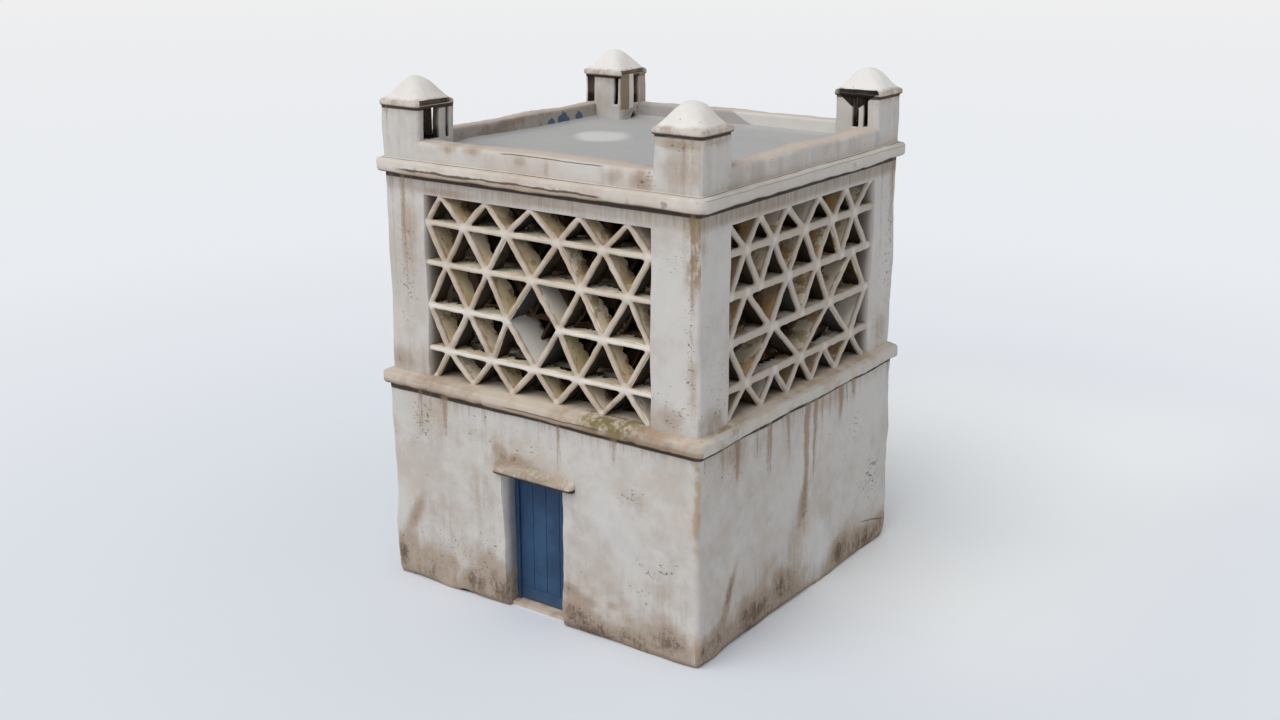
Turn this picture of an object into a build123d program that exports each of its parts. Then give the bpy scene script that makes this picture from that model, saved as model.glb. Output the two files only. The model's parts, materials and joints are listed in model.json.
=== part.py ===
"""A whitewashed stone dovecote of two storeys, in millimetres.

The frame is +Z up, with the origin on the ground under the middle of the building and the door in
the front wall, at -Y. The ground storey is a plain room of thick rubble walls. The loft over it is
four corner piers with lattices of slate slabs between them, which is where the pigeons fly in. A
flat roof closes the loft, with a parapet round it and a small domed turret on each corner.
"""
from build123d import *
import os

os.makedirs("parts", exist_ok=True)

# ---------------------------------------------------------------- ground storey
width = 4400                # over the plaster, along X
depth = 4460                # over the plaster, along Y
wall = 550                  # thickness of the rubble walls
wall_height = 2460          # ground to the underside of the string course
arris = 60                  # radius of the hand-rounded corners
floor_height = 40           # flagged floor over the ground

# Doorway and its sill, hood and frame. The outer reveal hides most of the frame behind it.
door_width = 855            # between the outer reveals
door_height = 1660          # ground to the head of the outer reveal
door_centre = -33           # along X
reveal = 210                # wall face to the front of the frame
frame_depth = 70
frame_hidden = 65           # how much of the frame stands behind the reveal
frame_shown = 35            # and how much shows inside it
splay = 75                  # the reveals widen by this towards the room
head_rise = 60              # and the head rises by this
sill_setback = 110          # front of the sill behind the wall face
hood_width = 1130
hood_shift = 45             # the hood sits off the doorway's centre
hood_gap = 25               # doorway head to the underside of the hood
hood_nose = 105             # height of its front edge
hood_round = 42             # radius of its edges
hood_rise = 75              # its plastered top slopes up by this to the wall
hood_projection = 100

# Door leaf and its two strap hinges
side_gap = 8                # leaf to frame at the sides and the head
foot_gap = 12               # leaf to sill
stop_width = 15             # the frame's stop, lapped in front of the leaf
stop_depth = 20
stop_gap = 5                # leaf to stop
leaf_thickness = 45
board_count = 4
groove = 10                 # width of the joint between two boards
groove_depth = 7
top_rail = 110
bottom_rail = 150
panel_recess = 8            # boards lie this far behind the rails
ledge_height = 90
ledge_thickness = 25
ledge_inset = 45            # ledge ends in from the leaf's edges
hinge_inset = 290           # hinges in from the leaf's foot and head
strap_length = 360
strap_height = 40
strap_thickness = 6
knuckle_radius = 10
pin_radius = 5
pin_clearance = 0.3
pin_setoff = 14             # pin's axis off the leaf's inner face
lug_height = 30
plate_width = 70

# ---------------------------------------------------------------- between the storeys
course_height = 180         # string course at the face of the upper wall
course_nose = 140           # and at its rounded nose
course_projection = 70      # nose in front of the wall below
course_bearing = 350        # wall face back to the inner edge of the course
nose_radius = 55
loft_floor_thickness = 140
beam_width = 130
beam_height = 160
beam_bearing = 200          # beam ends built into the walls
beam_count = 5

# ---------------------------------------------------------------- loft
setback = 40                # upper faces behind the lower ones
pier = 600                  # square corner piers
pier_arris = 50
lattice_rows = [335, 510, 505, 465, 315]    # heights of the five rows of slabs, from the sill up
lattice_recess = 20         # lattice behind the face of the piers
lattice_depth = 320
slab = 66                   # thickness of a leaning slab with its plaster
bar = 72                    # thickness of a level slab with its plaster
star_radius = 60            # plaster rounded over each meeting of slabs
frieze_height = 220
nest_slab = 50              # thickness of the nest slabs behind the lattice
nest_back = 50              # thickness of the slabs that close the nests
nest_pitches = 5            # leaning pairs in a row
flight_hole = 140           # side of the openings from the nests to the loft
flight_rise = 120           # their middles over the slab below

# ---------------------------------------------------------------- roof
cornice_height = 170
cornice_nose = 150
cornice_projection = 90
cornice_bearing = 350
parapet_height = 210
parapet_thick = 310         # front and right
parapet_thin = 190          # back and left
parapet_round = 40

# Turrets and their caps
turret = 580                # square, flush with the faces below
turret_height = 360         # parapet top to the underside of the cap
turret_wall = 95
turret_hole = 160           # triangular hole in the foot, over the roof
turret_hole_depth = 140
cap_lip = 70                # height of the drip lip
cap_arris = 35              # bevel on the lip's corners
cap_overhang = 25
cap_rise = 250              # dome over the lip
cap_break = 85              # depth of the broken lips

# ---------------------------------------------------------------- levels and half sizes
loft_level = wall_height + course_height
frieze_level = loft_level + sum(lattice_rows)
cornice_level = frieze_level + frieze_height
roof_level = cornice_level + cornice_height
parapet_level = roof_level + parapet_height
cap_level = parapet_level + turret_height
half_width, half_depth = width / 2, depth / 2
upper_x, upper_y = half_width - setback, half_depth - setback
room_x, room_y = half_width - wall, half_depth - wall
door_left = door_centre - door_width / 2
door_right = door_centre + door_width / 2
frame_front = -half_depth + reveal
frame_back = frame_front + frame_depth

# Each side of the building: the direction along its face, anticlockwise seen from above, how far
# its upper face stands from the middle, and half the length of that face.
sides = {
    "front": (Vector(1, 0, 0), upper_y, upper_x),
    "right": (Vector(0, 1, 0), upper_x, upper_y),
    "back": (Vector(-1, 0, 0), upper_y, upper_x),
    "left": (Vector(0, -1, 0), upper_x, upper_y),
}
# What is alike on two opposite sides is made on one of them and mirrored.
pairs = {"front_back": ("front", Plane.XZ), "sides": ("right", Plane.YZ)}
corners = {"front_left": (-1, -1), "front_right": (1, -1), "back_right": (1, 1), "back_left": (-1, 1)}
up = Vector(0, 0, 1)


def elevation(side, inset=0.0):
    """The plane of a side's upper face, looked at from outside, with its X along the wall."""
    along, face, _ = sides[side]
    outward = along.cross(up)
    return Plane(origin=outward * (face - inset), x_dir=along, z_dir=outward)


def section(side):
    """The plane across the middle of a side, with its X pointing out of the building."""
    along = sides[side][0]
    return Plane(origin=(0, 0, 0), x_dir=along.cross(up), z_dir=-along)


def plan(side, height):
    """A level plane with its X along the side and its Y pointing into the building."""
    along = sides[side][0]
    return Plane(origin=up * height, x_dir=along, z_dir=up)


# ---------------------------------------------------------------- ground storey walls
def door_jamb(sign, edge):
    """Outline of one jamb in plan, from the wall face in to the room."""
    hidden = edge + sign * frame_hidden
    return [
        (edge, -half_depth),
        (edge, frame_front),
        (hidden, frame_front),
        (hidden, frame_back),
        (hidden + sign * splay, -room_y),
    ]


for sign, edge, name in ((-1, door_left, "left"), (1, door_right, "right")):
    with BuildPart() as front_wall_side:
        with BuildSketch():
            with BuildLine():
                Polyline(
                    *door_jamb(sign, edge),
                    (sign * half_width, -room_y),
                    (sign * half_width, -half_depth),
                    close=True,
                )
            make_face()
        extrude(amount=wall_height)
        face_edges = front_wall_side.edges().filter_by(Axis.Z).group_by(Axis.Y)[0].sort_by(Axis.X)
        fillet(face_edges[0] if sign < 0 else face_edges[-1], arris)
    front_wall_side.part.label = f"front_wall_{name}"
    export_step(front_wall_side.part, f"parts/front_wall_{name}.step")

with BuildPart() as front_wall_over_door:
    with BuildSketch(Plane.XY.offset(door_height)):
        with BuildLine():
            Polyline(*door_jamb(-1, door_left), *reversed(door_jamb(1, door_right)), close=True)
        make_face()
    extrude(amount=wall_height - door_height)
    # The head steps up behind the outer reveal for the frame, then slopes up to the room.
    with BuildSketch(Plane.YZ.offset(door_centre)):
        with BuildLine():
            Polyline(
                (frame_front, door_height),
                (frame_front, door_height + frame_hidden),
                (frame_back, door_height + frame_hidden),
                (-room_y, door_height + frame_hidden + head_rise),
                (-room_y, door_height),
                close=True,
            )
        make_face()
    extrude(amount=door_width, both=True, mode=Mode.SUBTRACT)
front_wall_over_door.part.label = "front_wall_over_door"
export_step(front_wall_over_door.part, "parts/front_wall_over_door.step")

with BuildPart() as back_wall:
    with Locations((0, half_depth - wall / 2, 0)):
        Box(width, wall, wall_height, align=(Align.CENTER, Align.CENTER, Align.MIN))
    fillet(back_wall.edges().filter_by(Axis.Z).group_by(Axis.Y)[-1], arris)
back_wall.part.label = "back_wall"
export_step(back_wall.part, "parts/back_wall.step")

# The loft beams lie across the room, with their ends in pockets in the side walls.
beam_y = [(i - (beam_count - 1) / 2) * 2 * room_y / beam_count for i in range(beam_count)]
for sign, name in ((-1, "left"), (1, "right")):
    with BuildPart() as side_wall:
        with Locations((sign * (half_width - wall / 2), 0, 0)):
            Box(wall, 2 * room_y, wall_height, align=(Align.CENTER, Align.CENTER, Align.MIN))
        with Locations(*[(sign * room_x, y, wall_height) for y in beam_y]):
            Box(
                2 * beam_bearing,
                beam_width,
                beam_height,
                align=(Align.CENTER, Align.CENTER, Align.MAX),
                mode=Mode.SUBTRACT,
            )
    side_wall.part.label = f"{name}_wall"
    export_step(side_wall.part, f"parts/{name}_wall.step")

with BuildPart() as ground_floor:
    with BuildSketch():
        with BuildLine():
            Polyline(
                (-room_x, -room_y),
                (door_left - frame_hidden - splay, -room_y),
                (door_left - frame_hidden, frame_back),
                (door_right + frame_hidden, frame_back),
                (door_right + frame_hidden + splay, -room_y),
                (room_x, -room_y),
                (room_x, room_y),
                (-room_x, room_y),
                close=True,
            )
        make_face()
    extrude(amount=floor_height)
ground_floor.part.label = "ground_floor"
export_step(ground_floor.part, "parts/ground_floor.step")

# ---------------------------------------------------------------- doorway
with BuildPart() as door_sill:
    with Locations((door_centre, -half_depth + sill_setback, 0)):
        Box(door_width, reveal - sill_setback, floor_height, align=(Align.CENTER, Align.MIN, Align.MIN))
    with Locations((door_centre, frame_front, 0)):
        Box(
            door_width + 2 * frame_hidden,
            frame_depth,
            floor_height,
            align=(Align.CENTER, Align.MIN, Align.MIN),
        )
door_sill.part.label = "door_sill"
export_step(door_sill.part, "parts/door_sill.step")

with BuildPart() as door_hood:
    hood_foot = door_height + hood_gap
    hood_front = -half_depth - hood_projection
    with BuildSketch(Plane.YZ.offset(door_centre + hood_shift)):
        with BuildLine():
            Polyline(
                (-half_depth, hood_foot),
                (hood_front, hood_foot),
                (hood_front, hood_foot + hood_nose),
                (-half_depth, hood_foot + hood_nose + hood_rise),
                close=True,
            )
        hood_profile = make_face()
        fillet(hood_profile.vertices().group_by(Axis.X)[0], hood_round)
    extrude(amount=hood_width / 2, both=True)
door_hood.part.label = "door_hood"
export_step(door_hood.part, "parts/door_hood.step")

frame_outer = door_width + 2 * frame_hidden
frame_inner = door_width - 2 * frame_shown
frame_head = door_height + frame_hidden
frame_clear = door_height - frame_shown
with BuildPart() as door_frame:
    with BuildSketch(Plane.XZ.offset(-frame_back)):
        with Locations((door_centre, floor_height)):
            Rectangle(frame_outer, frame_head - floor_height, align=(Align.CENTER, Align.MIN))
            Rectangle(
                frame_inner,
                frame_clear - floor_height,
                align=(Align.CENTER, Align.MIN),
                mode=Mode.SUBTRACT,
            )
    extrude(amount=frame_depth)
    # The stop laps in front of the leaf on three sides.
    with BuildSketch(Plane.XZ.offset(-frame_front - stop_depth)):
        with Locations((door_centre, floor_height)):
            Rectangle(frame_inner, frame_clear - floor_height, align=(Align.CENTER, Align.MIN))
            Rectangle(
                frame_inner - 2 * stop_width,
                frame_clear - stop_width - floor_height,
                align=(Align.CENTER, Align.MIN),
                mode=Mode.SUBTRACT,
            )
    extrude(amount=stop_depth)
door_frame.part.label = "door_frame"
export_step(door_frame.part, "parts/door_frame.step")

# The leaf closes against the stop from inside and turns on its left edge.
leaf_width = frame_inner - 2 * side_gap
leaf_foot = floor_height + foot_gap
leaf_head = frame_clear - side_gap
leaf_height = leaf_head - leaf_foot
leaf_left = door_centre - leaf_width / 2
leaf_front = frame_front + stop_depth + stop_gap
leaf_back = leaf_front + leaf_thickness
hinge_levels = (leaf_foot + hinge_inset, leaf_head - hinge_inset)
with BuildPart() as door_leaf:
    with Locations((door_centre, leaf_front, leaf_foot)):
        Box(leaf_width, leaf_thickness, leaf_height, align=(Align.CENTER, Align.MIN, Align.MIN))
    with Locations((door_centre, leaf_front, leaf_foot + bottom_rail)):
        Box(
            leaf_width,
            panel_recess,
            leaf_height - top_rail - bottom_rail,
            align=(Align.CENTER, Align.MIN, Align.MIN),
            mode=Mode.SUBTRACT,
        )
    panel_middle = leaf_foot + bottom_rail + (leaf_height - top_rail - bottom_rail) / 2
    with BuildSketch(Plane.XZ.offset(-leaf_front - panel_recess - groove_depth)):
        with Locations((door_centre, panel_middle)):
            with GridLocations(leaf_width / board_count, 1, board_count - 1, 1):
                Rectangle(groove, leaf_height - top_rail - bottom_rail)
    extrude(amount=groove_depth, mode=Mode.SUBTRACT)
    # Two ledges hold the boards together inside, next to the hinge straps.
    for level, shift in zip(hinge_levels, (1, -1)):
        with Locations((door_centre, leaf_back, level + shift * (strap_height + ledge_height) / 2)):
            Box(
                leaf_width - 2 * ledge_inset,
                ledge_thickness,
                ledge_height,
                align=(Align.CENTER, Align.MIN, Align.CENTER),
            )
door_leaf.part.label = "door_leaf"
export_step(door_leaf.part, "parts/door_leaf.step")

pin_x = leaf_left - side_gap / 2
pin_y = leaf_back + pin_setoff
with BuildPart() as door_hinges:
    for level in hinge_levels:
        with Locations((pin_x, leaf_back, level)):
            Box(
                strap_length,
                strap_thickness,
                strap_height,
                align=(Align.MIN, Align.MIN, Align.CENTER),
            )
        with Locations((pin_x, pin_y, level)):
            Cylinder(knuckle_radius, strap_height)
            Cylinder(pin_radius + pin_clearance, strap_height, mode=Mode.SUBTRACT)
door_hinges.part.label = "door_hinges"
export_step(door_hinges.part, "parts/door_hinges.step")

with BuildPart() as door_pintles:
    for level in hinge_levels:
        lug_top = level - strap_height / 2 - pin_clearance
        with Locations((pin_x, frame_back, lug_top)):
            Box(
                plate_width,
                strap_thickness,
                lug_height,
                align=(Align.MAX, Align.MIN, Align.MAX),
            )
        with Locations((pin_x, pin_y, lug_top)):
            Cylinder(
                knuckle_radius,
                lug_height,
                align=(Align.CENTER, Align.CENTER, Align.MAX),
            )
            Cylinder(
                pin_radius,
                strap_height,
                align=(Align.CENTER, Align.CENTER, Align.MIN),
            )
door_pintles.part.label = "door_pintles"
export_step(door_pintles.part, "parts/door_pintles.step")

# ---------------------------------------------------------------- loft floor
with BuildPart() as loft_beams:
    with Locations(*[(0, y, wall_height) for y in beam_y]):
        Box(
            2 * (room_x + beam_bearing),
            beam_width,
            beam_height,
            align=(Align.CENTER, Align.CENTER, Align.MAX),
        )
loft_beams.part.label = "loft_beams"
export_step(loft_beams.part, "parts/loft_beams.step")

with BuildPart() as loft_floor:
    with Locations((0, 0, wall_height)):
        Box(
            width - 2 * course_bearing,
            depth - 2 * course_bearing,
            loft_floor_thickness,
            align=(Align.CENTER, Align.CENTER, Align.MIN),
        )
loft_floor.part.label = "loft_floor"
export_step(loft_floor.part, "parts/loft_floor.step")


# ---------------------------------------------------------------- string course and cornice
courses = {
    # foot, height, nose, wall below outside the upper face, projection, bearing
    "string_course": (
        wall_height,
        course_height,
        course_nose,
        setback,
        course_projection,
        course_bearing,
    ),
    "cornice": (
        cornice_level,
        cornice_height,
        cornice_nose,
        0,
        cornice_projection,
        cornice_bearing,
    ),
}
for name, (foot, height, nose, outside, projection, bearing) in courses.items():
    for pair, (side, mirror_plane) in pairs.items():
        _, upper_face, upper_half = sides[side]
        face, half = upper_face + outside, upper_half + outside
        with BuildPart() as course:
            with BuildSketch(section(side)):
                with BuildLine():
                    Polyline(
                        (face - bearing, foot),
                        (face + projection, foot),
                        (face + projection, foot + nose),
                        (upper_face, foot + height),
                        (face - bearing, foot + height),
                        close=True,
                    )
                profile = make_face()
                fillet(profile.vertices().group_by(Axis.X)[-1], nose_radius)
            extrude(amount=half + projection, both=True)
            # The ends are mitred, so that the moulding turns the corner.
            with BuildSketch(plan(side, foot)):
                with BuildLine():
                    Polyline(
                        (-half - projection, -face - projection),
                        (half + projection, -face - projection),
                        (half - bearing, -face + bearing),
                        (-half + bearing, -face + bearing),
                        close=True,
                    )
                make_face()
            extrude(amount=height, mode=Mode.INTERSECT)
            mirror(about=mirror_plane)
        course.part.label = f"{name}_{pair}"
        export_step(course.part, f"parts/{name}_{pair}.step")

# ---------------------------------------------------------------- corner piers and friezes
for name, (east, north) in corners.items():
    with BuildPart() as corner_pier:
        with Locations((east * (upper_x - pier / 2), north * (upper_y - pier / 2), loft_level)):
            Box(pier, pier, cornice_level - loft_level, align=(Align.CENTER, Align.CENTER, Align.MIN))
        outer = corner_pier.edges().filter_by(Axis.Z).sort_by(lambda e: east * e.center().X)[-2:]
        fillet(outer.sort_by(lambda e: north * e.center().Y)[-1], pier_arris)
    corner_pier.part.label = f"corner_pier_{name}"
    export_step(corner_pier.part, f"parts/corner_pier_{name}.step")

roof_beam_y = [(i - (beam_count - 1) / 2) * 2 * (upper_y - pier) / beam_count for i in range(beam_count)]
for pair, (side, mirror_plane) in pairs.items():
    _, face, half = sides[side]
    with BuildPart() as frieze:
        with BuildSketch(elevation(side)):
            with Locations((0, frieze_level)):
                Rectangle(2 * (half - pier), frieze_height, align=(Align.CENTER, Align.MIN))
        extrude(amount=-pier)
        if pair == "sides":
            # Pockets for the ends of the roof beams.
            with Locations(*[(face - pier, y, cornice_level) for y in roof_beam_y]):
                Box(
                    2 * beam_bearing,
                    beam_width,
                    beam_height,
                    align=(Align.CENTER, Align.CENTER, Align.MAX),
                    mode=Mode.SUBTRACT,
                )
        mirror(about=mirror_plane)
    frieze.part.label = f"frieze_{pair}"
    export_step(frieze.part, f"parts/frieze_{pair}.step")

# ---------------------------------------------------------------- lattices
# A lattice is five rows of slabs leaning against each other, with level slabs between the rows.
# Each row lists where its slabs meet, from the left pier to the right one seen from outside, in
# tenths of the opening, by turns at the foot and at the head of the row.
door_side_rows = [
    ("foot", [0.19, 0.87, 2.02, 2.95, 3.88, 4.94, 5.90, 6.89, 7.88, 8.91, 9.81]),
    ("head", [0.00, 0.87, 1.89, 2.95, 3.69, 4.94, 6.03, 6.89, 7.95, 8.91, 9.90]),
    ("foot", [0.00, 0.90, 1.89, 2.82, 3.69, 4.87, 6.03, 7.02, 7.95, 9.01, 9.90]),
    ("head", [0.03, 0.90, 1.79, 2.82, 3.75, 4.87, 6.06, 7.02, 7.98, 9.01, 9.90]),
    ("foot", [0.03, 0.71, 1.79, 2.85, 3.75, 4.87, 6.06, 7.02, 7.98, 9.01, 9.90]),
]
gable_side_rows = [
    ("foot", [0.13, 1.23, 2.26, 3.11, 4.06, 4.94, 5.79, 6.67, 7.61, 8.68, 9.72]),
    ("head", [0.09, 1.23, 3.05, 4.94, 6.95, 8.68, 9.81]),
    ("foot", [0.09, 1.16, 2.80, 3.90, 4.91, 5.94, 6.95, 8.62, 9.72]),
    ("foot", [0.13, 1.07, 2.01, 2.86, 3.90, 4.94, 5.94, 6.89, 7.74, 8.62, 9.72]),
    ("head", [0.00, 1.07, 1.95, 2.86, 3.74, 5.00, 5.94, 7.08, 7.92, 8.68, 9.78]),
]
level_slabs = {
    # Level slabs over each row but the last: where they start and end.
    "front": [[(0, 10)], [(0, 3.69), (6.03, 10)], [(0, 10)], [(0, 10)]],
    "right": [[(0, 10)], [(0, 10)], [(0, 10)], [(0, 10)]],
    "back": [[(0, 10)], [(0, 10)], [(0, 10)], [(0, 10)]],
    "left": [[(0, 10)], [(0, 10)], [(0, 10)], [(0, 10)]],
}
slab_levels = [loft_level + sum(lattice_rows[:i]) for i in range(len(lattice_rows) + 1)]

for side, (_, _, half) in sides.items():
    rows = door_side_rows if side in ("front", "back") else gable_side_rows
    opening = 2 * (half - pier)

    def at(tenths, level):
        return (opening * (tenths / 10 - 0.5), slab_levels[level])

    with BuildPart() as lattice:
        with BuildSketch(elevation(side, lattice_recess)):
            for row, (start, meetings) in enumerate(rows):
                first = 0 if start == "foot" else 1
                points = [at(m, row + (first + i) % 2) for i, m in enumerate(meetings)]
                with BuildLine():
                    Polyline(*points)
                trace(line_width=slab)
                with Locations(*points):
                    RegularPolygon(star_radius, 6)
            for level, spans in enumerate(level_slabs[side], start=1):
                for begin, end in spans:
                    with BuildLine():
                        Line(at(begin, level), at(end, level))
                    trace(line_width=bar)
            with Locations((0, loft_level)):
                Rectangle(
                    opening,
                    sum(lattice_rows),
                    align=(Align.CENTER, Align.MIN),
                    mode=Mode.INTERSECT,
                )
        extrude(amount=-lattice_depth)
    lattice.part.label = f"lattice_{side}"
    export_step(lattice.part, f"parts/lattice_{side}.step")

# Behind each lattice are the nests: leaning pairs of slabs on level ones, closed at the back by
# upright slabs. Each flight hole through them lies low under a leaning pair, in line with a gap of
# the lattice. For each row that has some: how many pitches they stand from the middle.
flight_holes = {"front_back": {2: (-1, 0, 1)}, "sides": {1: (-1, 1), 3: (0,)}}
nest_front = lattice_recess + lattice_depth
for pair, (side, mirror_plane) in pairs.items():
    _, _, half = sides[side]
    opening = 2 * (half - pier)
    pitch = opening / nest_pitches
    with BuildPart() as nest_slabs:
        with BuildSketch(elevation(side, nest_front)):
            for row, height in enumerate(lattice_rows):
                foot = slab_levels[row]
                ends = [(i / 2 - nest_pitches / 2) * pitch for i in range(2 * nest_pitches + 1)]
                with BuildLine():
                    Polyline(*[(end, foot + height * (i % 2)) for i, end in enumerate(ends)])
                trace(line_width=nest_slab)
                if row:
                    with Locations((0, foot)):
                        Rectangle(opening, nest_slab)
            with Locations((0, loft_level)):
                Rectangle(
                    opening,
                    sum(lattice_rows),
                    align=(Align.CENTER, Align.MIN),
                    mode=Mode.INTERSECT,
                )
        extrude(amount=nest_front + nest_back - pier)
        with BuildSketch(elevation(side, pier - nest_back)):
            with Locations((0, loft_level)):
                Rectangle(opening, sum(lattice_rows), align=(Align.CENTER, Align.MIN))
            for row, steps in flight_holes[pair].items():
                with Locations(*[(step * pitch, slab_levels[row] + flight_rise) for step in steps]):
                    Rectangle(flight_hole, flight_hole, mode=Mode.SUBTRACT)
        extrude(amount=-nest_back)
        mirror(about=mirror_plane)
    nest_slabs.part.label = f"nest_slabs_{pair}"
    export_step(nest_slabs.part, f"parts/nest_slabs_{pair}.step")

# ---------------------------------------------------------------- roof and parapets
with BuildPart() as roof_beams:
    with Locations(*[(0, y, cornice_level) for y in roof_beam_y]):
        Box(
            2 * (upper_x - pier + beam_bearing),
            beam_width,
            beam_height,
            align=(Align.CENTER, Align.CENTER, Align.MAX),
        )
roof_beams.part.label = "roof_beams"
export_step(roof_beams.part, "parts/roof_beams.step")

with BuildPart() as roof_slab:
    with Locations((0, 0, cornice_level)):
        Box(
            2 * (upper_x - cornice_bearing),
            2 * (upper_y - cornice_bearing),
            cornice_height,
            align=(Align.CENTER, Align.CENTER, Align.MIN),
        )
roof_slab.part.label = "roof_slab"
export_step(roof_slab.part, "parts/roof_slab.step")

for side, (_, face, half) in sides.items():
    thickness = parapet_thick if side in ("front", "right") else parapet_thin
    with BuildPart() as parapet:
        with BuildSketch(section(side)):
            with Locations((face, roof_level)):
                Rectangle(thickness, parapet_height, align=(Align.MAX, Align.MIN))
            fillet(vertices().group_by(Axis.Y)[-1], parapet_round)
        extrude(amount=half - turret, both=True)
    parapet.part.label = f"parapet_{side}"
    export_step(parapet.part, f"parts/parapet_{side}.step")

# ---------------------------------------------------------------- corner turrets
# Two sides of a turret are closed, flush with the walls below. The other two look over the roof
# and have slots between posts: for each, where the slots start, from the turret's inner corner, and
# how wide they are. "x" is the side that looks along X and "y" the one that looks along Y.
turret_slots = {
    "front_left": {"x": [(85, 55), (236, 250)], "y": [(85, 55), (236, 250)]},
    "front_right": {"x": [(90, 150), (340, 140)], "y": [(90, 150), (340, 140)]},
    "back_right": {"x": [(90, 150), (340, 140)], "y": [(225, 80), (370, 60)]},
    "back_left": {"x": [(290, 110)], "y": [(20, 90), (430, 130)]},
}
# The dome of a cap: its width, as a share of the lip's, at shares of its rise,
dome = [(0, 0.94), (0.3, 0.84), (0.6, 0.64), (0.85, 0.36), (1, 0.08)]
dome_spread = 1.2           # and how much wider it is from corner to corner
# Caps that have lost part of the drip lip, and on which side.
broken_lips = {"front_left": "x", "back_right": "y", "back_left": "x"}

for name, (east, north) in corners.items():
    centre = Vector(east * (upper_x - turret / 2), north * (upper_y - turret / 2), 0)
    toward = {"x": Vector(-east, 0, 0), "y": Vector(0, -north, 0)}
    across = {"x": Vector(0, north, 0), "y": Vector(east, 0, 0)}
    with BuildPart() as corner_turret:
        with Locations(centre + up * roof_level):
            Box(
                turret,
                turret,
                parapet_height + turret_height,
                align=(Align.CENTER, Align.CENTER, Align.MIN),
            )
        with Locations(centre + up * parapet_level):
            Box(
                turret - 2 * turret_wall,
                turret - 2 * turret_wall,
                turret_height,
                align=(Align.CENTER, Align.CENTER, Align.MIN),
                mode=Mode.SUBTRACT,
            )
        for way in ("x", "y"):
            inner = centre + toward[way] * (turret / 2) - across[way] * (turret / 2)
            for start, slot in turret_slots[name][way]:
                middle = inner + across[way] * (start + slot / 2) - toward[way] * (turret_wall / 2)
                size = (turret_wall, slot) if way == "x" else (slot, turret_wall)
                with Locations(middle + up * parapet_level):
                    Box(
                        *size,
                        turret_height,
                        align=(Align.CENTER, Align.CENTER, Align.MIN),
                        mode=Mode.SUBTRACT,
                    )
        # A small triangular hole in the foot looks over the roof.
        foot = centre + toward["x"] * (turret / 2) + up * roof_level
        with BuildSketch(Plane(origin=foot, x_dir=(0, 1, 0), z_dir=-toward["x"])):
            Triangle(a=turret_hole, B=45, C=45, align=(Align.CENTER, Align.MIN))
        extrude(amount=turret_hole_depth, mode=Mode.SUBTRACT)
        fillet(
            corner_turret.edges()
            .filter_by(Axis.Z)
            .sort_by(lambda e: (e.center() - centre).dot(Vector(east, north, 0)))[-1],
            pier_arris,
        )
    corner_turret.part.label = f"turret_{name}"
    export_step(corner_turret.part, f"parts/turret_{name}.step")

    with BuildPart() as turret_cap:
        # The dome is what four crossing vaults have in common.
        lip = turret + 2 * cap_overhang
        foot = centre + up * (cap_level + cap_lip)
        for turn, spread in ((0, 1), (90, 1), (45, dome_spread), (135, dome_spread)):
            crosswise = Vector(1, 0, 0).rotate(Axis.Z, turn)
            with BuildSketch(Plane(origin=foot, x_dir=crosswise, z_dir=crosswise.cross(up))):
                with BuildLine():
                    Polyline(
                        *[(-spread * size * lip / 2, share * cap_rise) for share, size in dome],
                        *[(spread * size * lip / 2, share * cap_rise) for share, size in reversed(dome)],
                        close=True,
                    )
                make_face()
            extrude(amount=lip, both=True, mode=Mode.INTERSECT if turn else Mode.ADD)
        with BuildSketch(Plane(origin=centre + up * cap_level)):
            Rectangle(lip, lip)
            chamfer(vertices(), cap_arris)
        extrude(amount=cap_lip)
        if name in broken_lips:
            way = broken_lips[name]
            edge = centre + toward[way] * (lip / 2)
            size = (2 * cap_break, turret - turret_wall) if way == "x" else (turret - turret_wall, 2 * cap_break)
            with Locations(edge + up * cap_level):
                Box(
                    *size,
                    cap_lip,
                    align=(Align.CENTER, Align.CENTER, Align.MIN),
                    mode=Mode.SUBTRACT,
                )
    turret_cap.part.label = f"turret_cap_{name}"
    export_step(turret_cap.part, f"parts/turret_cap_{name}.step")
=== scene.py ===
# %% [markdown]
# # A whitewashed dovecote
# A dovecote of this kind is a small square tower of rubble stone under many coats of lime. Below is
# a plain room with a plank door. Above, pigeons fly in through lattices of thin slates, leant
# against each other and plastered at their front edges. Nothing on it is quite straight: walls
# bulge, ledges wave, slates are broken at the back. The construction model gives true places and
# sizes, and every cell here gives one part of it the surface that a plasterer's hand leaves.

# %% Load the frame
import json
import math

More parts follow.
